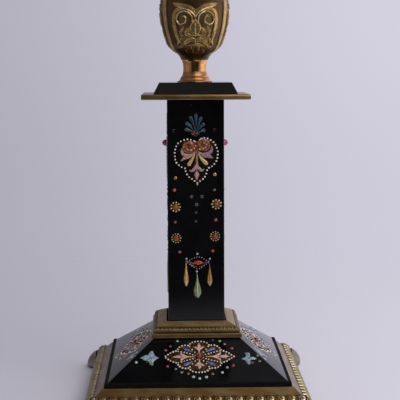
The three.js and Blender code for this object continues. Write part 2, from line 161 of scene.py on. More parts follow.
# Everything else takes an even light that is stronger from the right.
fill_colour = mixed(room, eased_share(room, ray_right, -0.7, 0.7), FILL_LEFT, FILL_RIGHT)
rays = add(room, "ShaderNodeLightPath")
sharp_rays = reckoned(room, "MAXIMUM", rays["Is Glossy Ray"], rays["Is Transmission Ray"])
soft_or_mirrored = mixed(room, sharp_rays, fill_colour, mirrored_colour)
room_colour = mixed(room, rays["Is Camera Ray"], soft_or_mirrored, sweep_colour)
room_light = add(room, "ShaderNodeBackground", {"Color": room_colour, "Strength": 1.0})
add(room, "ShaderNodeOutputWorld", {"Surface": room_light[0]})

FLOOR_RADIUS, FLOOR_BACK = 0.75, 0.28
FLOOR_LEFT = (0.68, 0.66, 0.765, 1)
FLOOR_RIGHT = (0.89, 0.865, 0.99, 1)
floor_mesh = bpy.data.meshes.new("floor")
floor_place = Matrix.Translation((0, FLOOR_BACK, 0))
with opened(floor_mesh) as shape:
    bmesh.ops.create_circle(shape, cap_ends=True, segments=96, radius=FLOOR_RADIUS, matrix=floor_place)
floor = bpy.data.objects.new("floor", floor_mesh)
bpy.context.scene.collection.objects.link(floor)
sweep, sweep_tree, sweep_shader = new_finish("sweep")
floor_point = add(sweep_tree, "ShaderNodeTexCoord")["Object"]
floor_right, floor_back = add(sweep_tree, "ShaderNodeSeparateXYZ", {"Vector": floor_point})[:2]
floor_aside = reckoned(sweep_tree, "ABSOLUTE", floor_right)
# The floor is painted darker towards the left, a painted shade that matches the sweep behind it.
floor_tone = mixed(sweep_tree, eased_share(sweep_tree, floor_right, -0.22, 0.22), FLOOR_LEFT, FLOOR_RIGHT)
fade_behind = eased_share(sweep_tree, floor_back, 0.85, 0.12)
fade = reckoned(sweep_tree, "MULTIPLY", fade_behind, eased_share(sweep_tree, floor_back, -0.42, -0.12))
fade = reckoned(sweep_tree, "MULTIPLY", fade, eased_share(sweep_tree, floor_aside, 0.7, 0.22))
feed(sweep_tree, sweep_shader, {"Base Color": floor_tone, "Roughness": 0.9, "Alpha": fade})
floor_mesh.materials.append(sweep)


LAMPS_AIM = Vector((0, 0, 0.15))


def soft_lamp(name, azimuth, height, distance, size, power, colour):
    """A broad soft lamp facing the column. Azimuth is measured from the front towards the right."""
    data = bpy.data.lights.new(name, "AREA")
    data.shape = "RECTANGLE"
    data.size, data.size_y = size
    data.energy = power
    data.color = colour
    lamp = bpy.data.objects.new(name, data)
    angle = math.radians(azimuth)
    lamp.location = (distance * math.sin(angle), -distance * math.cos(angle), height)
    aim = LAMPS_AIM - lamp.location
    lamp.rotation_euler = aim.to_track_quat("-Z", "Y").to_euler()
    lamp.visible_camera = False
    bpy.context.scene.collection.objects.link(lamp)


soft_lamp("lamp_right", 90, 0.5, 1.2, (1.2, 1.5), 1.2, (1, 0.97, 0.93))
soft_lamp("lamp_left", -80, 0.5, 1.3, (1.1, 1.4), 0.5, (0.96, 0.97, 1))
soft_lamp("lamp_front", 34, 0.92, 1.0, (1.1, 0.6), 5.9, (1, 0.98, 0.95))
soft_lamp("lamp_over", 140, 0.9, 0.95, (0.9, 0.8), 1.8, (1, 0.99, 0.97))


# Feet: four cast and gilt domes under the corners of the frame, each notched to take a corner.
# The gilding is worn bright on the crests, and painted shade darkens each foot where it meets the floor and
# the frame.
def mottle(tree, scale, detail=4.0, low=0.38, high=0.62, offset=0.0, upright=1.0):
    """Soft patches on the object itself, from 0 to 1. The scale is in patches to a metre.

    Where upright is above 1 the patches are streaks that lie level, and below 1 they stand.
    """
    place = add(tree, "ShaderNodeTexCoord")["Object"]
    shift = (offset, offset * 0.7, offset * 0.4)
    moved = add(tree, "ShaderNodeMapping", {"Vector": place, "Location": shift, "Scale": (1, 1, upright)})
    patches = add(tree, "ShaderNodeTexNoise", {"Vector": moved[0], "Scale": scale, "Detail": detail})
    return eased_share(tree, patches["Fac"], low, high)


def between(tree, share, low, high):
    """The value at a share of the way from low to high."""
    return add(tree, "ShaderNodeMapRange", {"Value": share, "To Min": low, "To Max": high})["Result"]


def bumped(tree, height, depth):
    """How a surface tilts where a pattern raises it. The depth is in millimetres."""
    return add(tree, "ShaderNodeBump", {"Height": height, "Strength": 1.0, "Distance": depth * MM})["Normal"]


def aged_metal(name, crest, body, hollow, roughness, drift=0.05, grain_depth=0.004, reach=1.6,
               wear_scale=150.0, upright=1.0, lacquer=0.0, metallic=1.0, glance=(1, 1, 1, 1)):
    """Metal in three colours, for crests, broad surfaces and hollows, under a thin old lacquer.

    The hollow colour goes where other surfaces lie close, so it is partly patina in the hollows and
    partly painted shade between parts. The drift is how far the roughness wanders, the reach how far
    off another surface still darkens it, and the glance what tints it where it is seen edge on.
    """
    material, tree, shader = new_finish(name)
    worn = mixed(tree, mottle(tree, wear_scale, upright=upright), body, crest)
    # Ambient occlusion mixes in the hollow colour: patina in the hollows, and painted shade near other parts
    # and the floor.
    openness = add(tree, "ShaderNodeAmbientOcclusion", {"Distance": reach * MM}, samples=6)["AO"]
    grain = mottle(tree, 2400.0, 3.0, 0.3, 0.7, offset=0.3, upright=upright)
    feed(tree, shader, {
        "Base Color": mixed(tree, eased_share(tree, openness, 0.4, 0.9), hollow, worn),
        "Metallic": metallic,
        "Specular Tint": glance,
        "Roughness": between(tree, grain, roughness, roughness + drift),
        "Normal": bumped(tree, grain, grain_depth),
        "Coat Weight": lacquer,
        "Coat Roughness": 0.2,
    })
    return material


FOOT_CREST = (0.34, 0.3, 0.23, 1)
FOOT_BODY = (0.19, 0.165, 0.12, 1)
# A wide reach spreads this colour as painted shade where the foot meets the floor and the frame.
FOOT_CONTACT_SHADE = (0.03, 0.028, 0.024, 1)
foot_metal = aged_metal(
    "foot_metal", FOOT_CREST, FOOT_BODY, FOOT_CONTACT_SHADE, 0.42, reach=3.2, lacquer=0.2, metallic=0.6
)


class Solid:
    """Points and faces gathered for one piece, in millimetres. Each face keeps its own finish."""

    def __init__(self):
        self.points, self.faces, self.face_finish, self.finishes = [], [], [], []

    def add(self, points, faces, finish):
        """More points, with the faces between them numbered from the first of those points."""
        if finish not in self.finishes:
            self.finishes.append(finish)
        start = len(self.points)
        self.points.extend(points)
        self.faces.extend([start + corner for corner in face] for face in faces)
        self.face_finish.extend([self.finishes.index(finish)] * len(faces))

    def take(self, mesh, finish=None):
        """The faces of a mesh. They keep their own finishes unless one is given."""
        start = len(self.points)
        self.points.extend(vertex.co.copy() for vertex in mesh.vertices)
        for face in mesh.polygons:
            own = finish or mesh.materials[face.material_index]
            if own not in self.finishes:
                self.finishes.append(own)
            self.faces.append([start + corner for corner in face.vertices])
            self.face_finish.append(self.finishes.index(own))

    def loft(self, rings, finish, closed=False):
        """A skin from ring to ring of points. It closes on itself, or else both ends are capped."""
        size, count = len(rings[0]), len(rings)
        faces = []
        for i in range(count if closed else count - 1):
            here, after = i * size, (i + 1) % count * size
            for j in range(size):
                k = (j + 1) % size
                faces.append((here + j, after + j, after + k, here + k))
        if not closed:
            faces += [range(size), range((count - 1) * size, count * size)]
        self.add([point for ring in rings for point in ring], faces, finish)

    def refinish(self, finish, chosen):
        """Another finish for each face that is chosen by the heights of its corners."""
        self.finishes.append(finish)
        for number, face in enumerate(self.faces):
            if chosen([self.points[corner][2] for corner in face]):
                self.face_finish[number] = len(self.finishes) - 1


def plain_mesh(name, solid):
    mesh = bpy.data.meshes.new(name)
    mesh.from_pydata(solid.points, [], solid.faces)
    return mesh


QUARTER = math.pi / 2
SIDES = ["front", "right", "rear", "left"]


def finished(name, solid, stands_for=(), turn=0.0, body="holder", crisp=38):
    """The piece on its body, faces outwards, smooth except at edges sharper than the crisp angle."""
    mesh = plain_mesh(name, solid)
    for finish in solid.finishes:
        mesh.materials.append(finish)
    mesh.polygons.foreach_set("material_index", solid.face_finish)
    with opened(mesh) as shell:
        bmesh.ops.recalc_face_normals(shell, faces=shell.faces)
    mesh.transform(Matrix.Rotation(turn, 4, "Z") @ Matrix.Scale(MM, 4))
    mesh.shade_smooth()
    mesh.set_sharp_from_angle(angle=math.radians(crisp))
    piece = bpy.data.objects.new(name, mesh)
    bpy.context.scene.collection.objects.link(piece)
    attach(piece, body)
    if stands_for:
        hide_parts(*stands_for)
    return piece


def around(x, y, turn, reach, reach_up=None):
    """The point at a turn round a middle, on a circle, or on an oval where its reach up differs."""
    up = reach if reach_up is None else reach_up
    return (x + reach * math.cos(turn), y + up * math.sin(turn))


def turned(solid, profile, finish, segments=96, x=0, y=0):
    """A closed profile of [radius, height] turned about an upright axis."""
    turns = [2 * math.pi * i / segments for i in range(segments)]
    rings = [[(*around(x, y, turn, radius), height) for radius, height in profile] for turn in turns]
    solid.loft(rings, finish, closed=True)


def flowing(points, steps):
    """A smooth line of steps + 1 points through a few given points."""
    given = [Vector(point) for point in points]
    given = [2 * given[0] - given[1], *given, 2 * given[-1] - given[-2]]
    line = []
    for step in range(steps + 1):
        reach = step / steps * (len(given) - 3)
        i = min(int(reach), len(given) - 4)
        t = reach - i
        a, b, c, d = given[i : i + 4]
        line.append(
            0.5 * (2 * b + (c - a) * t + (2 * a - 5 * b + 4 * c - d) * t * t + (3 * b - a - 3 * c + d) * t**3)
        )
    return line


def without_doubles(mesh, distance=1e-3):
    with opened(mesh) as shell:
        bmesh.ops.remove_doubles(shell, verts=shell.verts, dist=distance)
    return mesh


def as_cut(block):
    """The mesh of a block as its modifiers leave it."""
    bpy.context.view_layer.update()
    return bpy.data.meshes.new_from_object(block.evaluated_get(bpy.context.evaluated_depsgraph_get()))


# A turned profile starts and ends this near its axis, and its points there are joined afterwards.
AXIS = 0.001
FOOT_CENTRE = 71
FRAME_HALF, FRAME_BOTTOM = 76.5, 7
FOOT_OUTLINE = [
    (11.0, 0), (12.3, 1.2), (12.55, 3.2), (12.1, 5.2), (10.9, 7.6), (9.2, 9.9), (6.6, 12), (3.4, 13.1),
]
FOOT_GAP, FOOT_SEAT = 0.2, 0.1
NOTCH_REACH, NOTCH_TALL = FRAME_HALF + FOOT_GAP, 20
foot_solid = Solid()
foot_profile = [(AXIS, 0), (10.6, 0), *flowing(FOOT_OUTLINE, 22), (AXIS, 13.35)]
turned(foot_solid, foot_profile, foot_metal, 56, FOOT_CENTRE, FOOT_CENTRE)
foot_block = bpy.data.objects.new("foot_block", without_doubles(plain_mesh("foot", foot_solid)))
notch_mesh = bpy.data.meshes.new("notch")
with opened(notch_mesh) as shape:
    bmesh.ops.create_cube(shape, size=1)
notch_size = Matrix.Diagonal((NOTCH_REACH, NOTCH_REACH, NOTCH_TALL, 1))
notch_middle = (NOTCH_REACH / 2, NOTCH_REACH / 2, FRAME_BOTTOM - FOOT_SEAT + NOTCH_TALL / 2)
notch_mesh.transform(Matrix.Translation(notch_middle) @ notch_size)
notch_block = bpy.data.objects.new("notch_block", notch_mesh)
for block in (foot_block, notch_block):
    bpy.context.scene.collection.objects.link(block)
notch = foot_block.modifiers.new("notch", "BOOLEAN")
notch.object = notch_block
notch.solver = "EXACT"
cut_foot = as_cut(foot_block)
for block in (foot_block, notch_block):
    bpy.data.objects.remove(block)
for quarter, place in enumerate(["rear_right", "rear_left", "front_left", "front_right"]):
    foot_solid = Solid()
    foot_solid.take(cut_foot, foot_metal)
    finished(f"cast_foot_{place}", foot_solid, [f"foot_{place}"], quarter * QUARTER)


# Base frame: four lengths of cast gilt brass moulding, mitred and soldered at the corners.
# A plain sloping band runs down to a row of eggs and darts on a quarter round over a foot fillet.
def arc(across, height, radius, start, end, steps):
    """Points of [out, height] along an arc. Angles are in degrees, 0 outwards and 90 upwards."""
    turns = [math.radians(start + (end - start) * i / steps) for i in range(steps + 1)]
    return [around(across, height, turn, radius) for turn in turns]


MITRE = 0.12


def moulding(solid, profile, finish, along=16):
    """A straight length along X for the front side. Its ends are sawn at 45 degrees."""
    shares = [2 * i / along - 1 for i in range(along + 1)]
    rings = [[(share * (out - MITRE), -out, height) for out, height in profile] for share in shares]
    solid.loft(rings, finish)


def share_along(values, share):
    """The value at a share of the way along a list of values."""
    reach = share * (len(values) - 1)
    i = min(int(reach), len(values) - 2)
    return values[i] + (values[i + 1] - values[i]) * (reach - i)


def stroke(solid, spine, halves, rise, finish, steps=12, sides=6, lift=0.0, sink=0.1, blunt=False):
    """A raised dab with a rounded top, laid along a line on a flat face: x across, y up, z proud.

    A blunt dab ends in a half circle instead of in the last of its half widths.
    """
    line = flowing(spine, steps)
    rings = []
    for i, middle in enumerate(line):
        ahead = line[min(i + 1, steps)] - line[max(i - 1, 0)]
        side = Vector((-ahead.y, ahead.x)).normalized()
        half = share_along(halves, i / steps)
        left_over = (line[-1] - middle).length
        if blunt and left_over < halves[-1]:
            half = max(math.sqrt(halves[-1] ** 2 - (halves[-1] - left_over) ** 2), 0.15)
        height = rise * (half / max(halves)) ** 0.6
        ring = [(*(middle - side * half), lift - sink)]
        for j in range(sides + 1):
            turn = math.pi * j / sides
            ring.append((*(middle - side * half * math.cos(turn)), lift + height * math.sin(turn)))
        rings.append([*ring, (*(middle + side * half), lift - sink)])
    solid.loft(rings, finish)


def growing_tree(name, inputs, output):
    """A node tree with named inputs and one output for the mesh, and what comes in through them."""
    tree = bpy.data.node_groups.new(name, "GeometryNodeTree")
    for input_name, kind in inputs.items():
        tree.interface.new_socket(name=input_name, in_out="INPUT", socket_type=f"NodeSocket{kind}")
    tree.interface.new_socket(name=output, in_out="OUTPUT", socket_type="NodeSocketGeometry")
    return tree, add(tree, "NodeGroupInput")


def grown(tree, pattern, sizes):
    """The plain mesh that a node tree grows from a small pattern mesh."""
    carrier = bpy.data.objects.new("pattern", pattern)
    bpy.context.scene.collection.objects.link(carrier)
    modifier = carrier.modifiers.new("grow", "NODES")
    modifier.node_group = tree
    for item in tree.interface.items_tree:
        if item.in_out == "INPUT" and item.name in sizes:
            modifier[item.identifier] = sizes[item.name]
    result = as_cut(carrier)
    carrier.modifiers.remove(modifier)
    bpy.data.objects.remove(carrier)
    return result


# The tree repeats one unit of carving along a length, then saws the row at both mitres.
row_inputs = {"Unit": "Geometry", "Count": "Int", "Pitch": "Float", "Mitre": "Float", "Finish": "Material"}
carved_row, given = growing_tree("carved_row", row_inputs, "Row")
span = reckoned(carved_row, "SUBTRACT", given["Count"], 1.0)
span = reckoned(carved_row, "MULTIPLY", span, given["Pitch"])
first_at = add(carved_row, "ShaderNodeCombineXYZ", {"X": reckoned(carved_row, "MULTIPLY", span, -0.5)})[0]
one_pitch = add(carved_row, "ShaderNodeCombineXYZ", {"X": given["Pitch"]})[0]
line_inputs = {"Count": given["Count"], "Start Location": first_at, "Offset": one_pitch}
units_at = add(carved_row, "GeometryNodeMeshLine", line_inputs)["Mesh"]
units = add(carved_row, "GeometryNodeInstanceOnPoints", {"Points": units_at, "Instance": given["Unit"]})[0]
solid_row = add(carved_row, "GeometryNodeRealizeInstances", {"Geometry": units})[0]
unit_point = add(carved_row, "GeometryNodeInputPosition")[0]
unit_x, unit_y, unit_z = add(carved_row, "ShaderNodeSeparateXYZ", {0: unit_point})
less_mitre = reckoned(carved_row, "MULTIPLY", given["Mitre"], -1.0)
saw_right = reckoned(carved_row, "MULTIPLY_ADD", unit_y, -1.0, less_mitre)
saw_left = reckoned(carved_row, "MULTIPLY", saw_right, -1.0)
kept_x = reckoned(carved_row, "MINIMUM", unit_x, saw_right)
kept_x = reckoned(carved_row, "MAXIMUM", kept_x, saw_left)
kept_point = add(carved_row, "ShaderNodeCombineXYZ", {"X": kept_x, "Y": unit_y, "Z": unit_z})[0]
sawn = add(carved_row, "GeometryNodeSetPosition", {"Geometry": solid_row, "Position": kept_point})[0]
gilded = add(carved_row, "GeometryNodeSetMaterial", {"Geometry": sawn, "Material": given["Finish"]})[0]
add(carved_row, "NodeGroupOutput", {"Row": gilded})


def rolled_row(name, unit, finish, count, pitch, out, height, radius):
    """A row of one flat unit bent round a quarter round: y runs up the curve and z stands proud of it."""
    bent = []
    for x, y, z in unit.points:
        angle = math.pi / 4 + y / radius
        reach = radius + z
        bent.append((x, -out - reach * math.cos(angle), height + reach * math.sin(angle)))
    unit.points = bent
    sizes = {"Count": count, "Pitch": pitch, "Mitre": MITRE, "Finish": finish}
    return grown(carved_row, plain_mesh(name, unit), sizes)


GILT_CREST = (0.56, 0.38, 0.16, 1)
GILT_BODY = (0.44, 0.24, 0.075, 1)
GILT_HOLLOW = (0.05, 0.022, 0.008, 1)
GREY_GLANCE = (0.45, 0.52, 0.7, 1)
gilt_brass = aged_metal(
    "gilt_brass", GILT_CREST, GILT_BODY, GILT_HOLLOW, 0.33, wear_scale=60.0, upright=4.0, lacquer=0.5,
    glance=GREY_GLANCE
)
# The front eggs are rubbed bright on their crests, and are also made lighter than those on the other sides,
# as painted light.
EGG_CREST = (1.0, 0.86, 0.56, 1)
EGG_BODY = (0.8, 0.59, 0.26, 1)
EGG_HOLLOW = (0.15, 0.1, 0.03, 1)
rubbed_and_lit_gilt = aged_metal(
    "rubbed_and_lit_gilt", EGG_CREST, EGG_BODY, EGG_HOLLOW, 0.22, reach=1.1, lacquer=0.5, glance=GREY_GLANCE
)
# The eggs on the lengths at the sides and back take a duller copy of the egg gilt than the front ones:
# painted shade.
SHADED_SIDE_CREST = (0.55, 0.47, 0.31, 1)
SHADED_SIDE_BODY = (0.42, 0.34, 0.19, 1)
shaded_side_gilt = aged_metal(
    "shaded_side_gilt", SHADED_SIDE_CREST, SHADED_SIDE_BODY, EGG_HOLLOW, 0.32, reach=1.1, lacquer=0.25, glance=GREY_GLANCE
)

# The quarter round: how far out and how high its middle lies, and its radius.
OVOLO = (69.5, 11, 4.9)
FRAME_PROFILE = [
    (61, 7), (76.1, 7), (76.5, 7.3), (76.5, 8.9), (76.2, 9.4), (75.2, 9.8), *arc(*OVOLO, 0, 90, 12),
    (68.3, 16.2), (68.2, 16.9), (67.6, 17.3), (67.2, 17.5), (63.7, 20.85), (63.4, 21), (62.9, 21),
    (62.9, 14), (57, 14), (57, 11), (61, 11),
]
EGG_COUNT, EGG_PITCH = 21, 6.9
SHELL_LINE = [(-2.55, 3.9), (-2.65, 0.6), (-1.75, -2.7), (0, -3.95), (1.75, -2.7), (2.65, 0.6), (2.55, 3.9)]
# The egg, the shell round it, and the dart. Each has its half widths, its rise, and steps along and across.
EGG_STROKES = [
    ([(0, 3.75), (0, 0), (0, -3.3)], [0.3, 1.45, 1.85, 1.8, 1.5, 1.05, 0.25], 1.45, 12, 8),
    (SHELL_LINE, [0.42, 0.42], 0.95, 22, 4),
    ([(3.45, 3.9), (3.45, -0.6)], [0.26, 0.24, 0.22], 0.7, 4, 4),
    ([(3.45, -0.3), (3.45, -3.9)], [0.1, 0.55, 0.45, 0.08], 0.8, 6, 4),
]
egg_unit = Solid()
for spine, halves, rise, steps, sides in EGG_STROKES:
    stroke(egg_unit, spine, halves, rise, rubbed_and_lit_gilt, steps, sides)
egg_row = rolled_row("egg_unit", egg_unit, rubbed_and_lit_gilt, EGG_COUNT, EGG_PITCH, *OVOLO)
for quarter, side in enumerate(SIDES):
    rail = Solid()
    moulding(rail, FRAME_PROFILE, gilt_brass)
    rail.take(egg_row, rubbed_and_lit_gilt if side == "front" else shaded_side_gilt)
    finished(f"egg_moulding_{side}", rail, [f"base_rail_{side}"], quarter * QUARTER)


# Stone base: one block of polished black stone, sawn to four slopes over a thin slab, with eased edges.
# The polish is close to a mirror, with a faint grey cloud in the stone and hairline scratches.
STONE_BLACK = (0.0022, 0.0022, 0.0026, 1)
STONE_CLOUD = (0.0042, 0.0042, 0.0048, 1)
black_stone, stone_tree, stone_shader = new_finish("black_stone")
haze = mottle(stone_tree, 70.0, 5.0, 0.45, 0.75, offset=0.5)
stone_place = add(stone_tree, "ShaderNodeTexCoord")["Object"]
wave_sizes = {"Vector": stone_place, "Scale": 260.0, "Distortion": 9.0, "Detail": 3.0, "Detail Scale": 0.6}
waves = add(stone_tree, "ShaderNodeTexWave", wave_sizes, bands_direction="DIAGONAL")["Fac"]
scratches = eased_share(stone_tree, waves, 0.985, 1.0)
feed(stone_tree, stone_shader, {
    "Base Color": mixed(stone_tree, mottle(stone_tree, 45.0, 6.0), STONE_BLACK, STONE_CLOUD),
    "IOR": 1.52,
    "Roughness": between(stone_tree, haze, 0.04, 0.12),
    "Normal": bumped(stone_tree, scratches, 0.003),
})


def eased(node, width, segments=2, turn_past=20):
    """A copy of a CAD piece in millimetres, its edges rounded over by the width."""
    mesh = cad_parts[node].data.copy()
    mesh.transform(Matrix.Scale(1 / MM, 4))
    without_doubles(mesh)
    with opened(mesh) as shell:
        bmesh.ops.dissolve_limit(shell, angle_limit=math.radians(1), verts=shell.verts, edges=shell.edges)
        edges = [edge for edge in shell.edges if edge.calc_face_angle(0) > math.radians(turn_past)]
        bmesh.ops.bevel(shell, geom=edges, offset=width, segments=segments, profile=0.5, affect="EDGES")
    return mesh


# The slab under the slopes takes a rough, near-black finish that hardly reflects and takes little light, as
# painted shade for the dark gap between the slopes and the frame.
GAP_SHADE_BLACK = (0.003, 0.003, 0.003, 1)
GAP_SHADE_CLOUD = (0.006, 0.006, 0.006, 1)
gap_shade_stone, gap_shade_tree, gap_shade_shader = new_finish("gap_shade_black_stone")
feed(gap_shade_tree, gap_shade_shader, {
    "Base Color": mixed(gap_shade_tree, mottle(gap_shade_tree, 400.0, 5.0), GAP_SHADE_BLACK, GAP_SHADE_CLOUD),
    "Roughness": 0.7,
    "Specular IOR Level": 0.08,
    "Normal": bumped(gap_shade_tree, mottle(gap_shade_tree, 1500.0), 0.02),
})
STONE_EDGE = 24
for node, width in (("base_stone", 0.22), ("column", 0.15), ("cap_block", 0.22)):
    block = Solid()
    block.take(eased(node, width), black_stone)
    block.refinish(gap_shade_stone, lambda heights: sum(heights) / len(heights) < STONE_EDGE + 0.06)
    finished(f"polished_{node}", block, [node], crisp=12)


# Ironwork inside: the plate, washer and nut under the stone, the tie rod, and the nut in the urn.
# None of it shows. It is plain black iron with a little rust.
IRON_BLACK = (0.14, 0.13, 0.125, 1)
IRON_RUST = (0.21, 0.12, 0.075, 1)
iron, iron_tree, iron_shader = new_finish("iron")
feed(iron_tree, iron_shader, {
    "Base Color": mixed(iron_tree, mottle(iron_tree, 220.0), IRON_BLACK, IRON_RUST),
    "Metallic": 0.9,
    "Roughness": 0.62,
    "Normal": bumped(iron_tree, mottle(iron_tree, 1400.0), 0.04),
})
for node in ("under_plate", "rod_washer", "rod_nut_lower", "rod_nut_upper", "tie_rod"):
    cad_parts[node].material_slots[0].material = iron


# Enamel pastes: opaque and clear glass laid by hand over gilt foil, fired in low beads and dabs.
# Each colour is a glass with its own slight clouding, glossy but for two dark grounds; the clear ones
# let the foil glint.
def enamel(name, colour, deep, foil=0.0, roughness=0.16, gloss=0.7, shine=0.5):
    """Glass of one colour with deeper clouds. The foil is how much metal shows through it."""
    material, tree, shader = new_finish(name)
    feed(tree, shader, {
        "Base Color": mixed(tree, mottle(tree, 700.0, 3.0, 0.35, 0.65), deep, colour),
        "Metallic": foil,
        "Roughness": roughness,
        "Specular IOR Level": shine,
        "Coat Weight": gloss,
        "Coat IOR": 1.6,
        "Coat Roughness": 0.08,
        "Normal": bumped(tree, mottle(tree, 1600.0, 2.0, 0.3, 0.7, offset=0.2), 0.02),
    })
    return material


cream = enamel("cream_enamel", (0.93, 0.87, 0.75, 1), (0.76, 0.66, 0.52, 1))
white = enamel("white_enamel", (0.56, 0.61, 0.56, 1), (0.34, 0.41, 0.36, 1))
stone_grey = enamel("stone_grey_enamel", (0.32, 0.27, 0.2, 1), (0.14, 0.1, 0.07, 1))
shell_pink = enamel("shell_pink_enamel", (0.78, 0.46, 0.36, 1), (0.5, 0.24, 0.17, 1))
gold_bead = enamel("gold_enamel", (0.88, 0.58, 0.2, 1), (0.6, 0.33, 0.08, 1), 0.85, 0.12)
pale_gold = enamel("pale_gold_enamel", (0.9, 0.72, 0.38, 1), (0.62, 0.42, 0.14, 1), 0.3)
deep_gold = enamel("deep_gold_enamel", (0.85, 0.52, 0.14, 1), (0.55, 0.27, 0.05, 1), 0.45, 0.14)
amber = enamel("amber_enamel", (0.28, 0.11, 0.012, 1), (0.11, 0.035, 0.004, 1), 0.25)
orange = enamel("orange_enamel", (0.5, 0.15, 0.06, 1), (0.28, 0.06, 0.02, 1), 0.15)
coral = enamel("coral_enamel", (0.55, 0.075, 0.022, 1), (0.32, 0.03, 0.01, 1), 0.1, 0.1)
rust = enamel("rust_enamel", (0.27, 0.085, 0.03, 1), (0.12, 0.03, 0.01, 1), 0.15)
russet = enamel("russet_enamel", (0.42, 0.17, 0.075, 1), (0.23, 0.075, 0.03, 1), 0.15)
maroon = enamel("maroon_enamel", (0.16, 0.015, 0.012, 1), (0.06, 0.005, 0.005, 1), 0.1, 0.3)
red = enamel("red_enamel", (0.42, 0.025, 0.025, 1), (0.15, 0.006, 0.01, 1), 0.2, 0.08)
ruby = enamel("ruby_glass", (0.34, 0.014, 0.03, 1), (0.12, 0.004, 0.01, 1), 0.15, 0.08)
rose = enamel("rose_enamel", (0.46, 0.11, 0.12, 1), (0.27, 0.045, 0.055, 1))
dusk = enamel("dusk_enamel", (0.2, 0.12, 0.1, 1), (0.08, 0.04, 0.03, 1))
pink = enamel("pink_enamel", (0.5, 0.31, 0.28, 1), (0.29, 0.16, 0.14, 1))
blush = enamel("blush_enamel", (0.74, 0.48, 0.42, 1), (0.48, 0.27, 0.22, 1))
lilac = enamel("lilac_enamel", (0.36, 0.19, 0.24, 1), (0.21, 0.09, 0.14, 1))
lemon = enamel("lemon_enamel", (0.76, 0.6, 0.2, 1), (0.52, 0.37, 0.08, 1), 0.1)
straw = enamel("straw_enamel", (0.8, 0.54, 0.25, 1), (0.58, 0.33, 0.1, 1), 0.1)
leaf_green = enamel("green_enamel", (0.24, 0.36, 0.16, 1), (0.12, 0.2, 0.07, 1), 0.2)
leaf_gold = enamel("leaf_gold_enamel", (0.6, 0.58, 0.28, 1), (0.34, 0.33, 0.12, 1), 0.2)
gilt_green = enamel("gilt_green_enamel", (0.36, 0.36, 0.15, 1), (0.17, 0.19, 0.06, 1), 0.3)
teal = enamel("teal_enamel", (0.05, 0.135, 0.18, 1), (0.015, 0.05, 0.08, 1))
turquoise = enamel("turquoise_enamel", (0.33, 0.46, 0.46, 1), (0.2, 0.33, 0.35, 1))
sea_green = enamel("sea_green_enamel", (0.25, 0.39, 0.32, 1), (0.12, 0.24, 0.19, 1))
sky = enamel("sky_enamel", (0.34, 0.5, 0.59, 1), (0.19, 0.34, 0.45, 1))
frost = enamel("frost_enamel", (0.34, 0.36, 0.43, 1), (0.2, 0.22, 0.28, 1))
blue = enamel("blue_enamel", (0.14, 0.24, 0.45, 1), (0.06, 0.11, 0.26, 1), 0.1)
navy = enamel("navy_enamel", (0.012, 0.03, 0.06, 1), (0.005, 0.012, 0.03, 1))
steel_blue = enamel("steel_blue_enamel", (0.13, 0.16, 0.22, 1), (0.04, 0.05, 0.08, 1))
smoke = enamel("smoke_enamel", (0.085, 0.088, 0.088, 1), (0.02, 0.021, 0.022, 1))
brown = enamel("brown_enamel", (0.085, 0.04, 0.013, 1), (0.008, 0.003, 0.001, 1), 0, 0.5, 0, 0.08)
dark_ground = enamel(
    "dark_ground_enamel", (0.009, 0.006, 0.005, 1), (0.003, 0.002, 0.002, 1), 0, 0.45, 0, 0.08
)

# The tree strings beads along lines: each line is cut into even steps, and each step takes a bead.
bead_inputs = {
    "Lines": "Geometry", "Pitch": "Float", "Radius": "Float", "Rise": "Float", "Stray": "Float",
    "Seed": "Int", "Finish": "Material",
}
bead_string, given = growing_tree("bead_string", bead_inputs, "Beads")
strings = add(bead_string, "GeometryNodeMeshToCurve", {"Mesh": given["Lines"]})[0]
step_inputs = {"Curve": strings, "Length": given["Pitch"]}
even_steps = add(bead_string, "GeometryNodeResampleCurve", step_inputs, mode="LENGTH")[0]
least_stray = reckoned(bead_string, "MULTIPLY", given["Stray"], -1.0)
stray_inputs = {0: least_stray, 1: given["Stray"], "Seed": given["Seed"]}
stray = add(bead_string, "FunctionNodeRandomValue", stray_inputs, data_type="FLOAT_VECTOR")[0]
flat_stray = add(bead_string, "ShaderNodeVectorMath", {0: stray, 1: (1.0, 1.0, 0.0)}, operation="MULTIPLY")[0]
beads_at = add(bead_string, "GeometryNodeSetPosition", {"Geometry": even_steps, "Offset": flat_stray})[0]
round_bead = add(bead_string, "GeometryNodeMeshUVSphere", {"Segments": 8, "Rings": 6, "Radius": 1.0})["Mesh"]
bead_size = {"X": given["Radius"], "Y": given["Radius"], "Z": given["Rise"]}
bead_size = add(bead_string, "ShaderNodeCombineXYZ", bead_size)[0]
drift_inputs = {2: 0.88, 3: 1.1, "Seed": given["Seed"]}
size_drift = add(bead_string, "FunctionNodeRandomValue", drift_inputs, data_type="FLOAT")[1]
drifted = {0: bead_size, "Scale": size_drift}
bead_size = add(bead_string, "ShaderNodeVectorMath", drifted, operation="SCALE")[0]
on_inputs = {"Points": beads_at, "Instance": round_bead, "Scale": bead_size}
beads_on = add(bead_string, "GeometryNodeInstanceOnPoints", on_inputs)[0]
real_beads = add(bead_string, "GeometryNodeRealizeInstances", {"Geometry": beads_on})[0]
glazed = add(bead_string, "GeometryNodeSetMaterial", {"Geometry": real_beads, "Material": given["Finish"]})[0]
add(bead_string, "NodeGroupOutput", {"Beads": glazed})


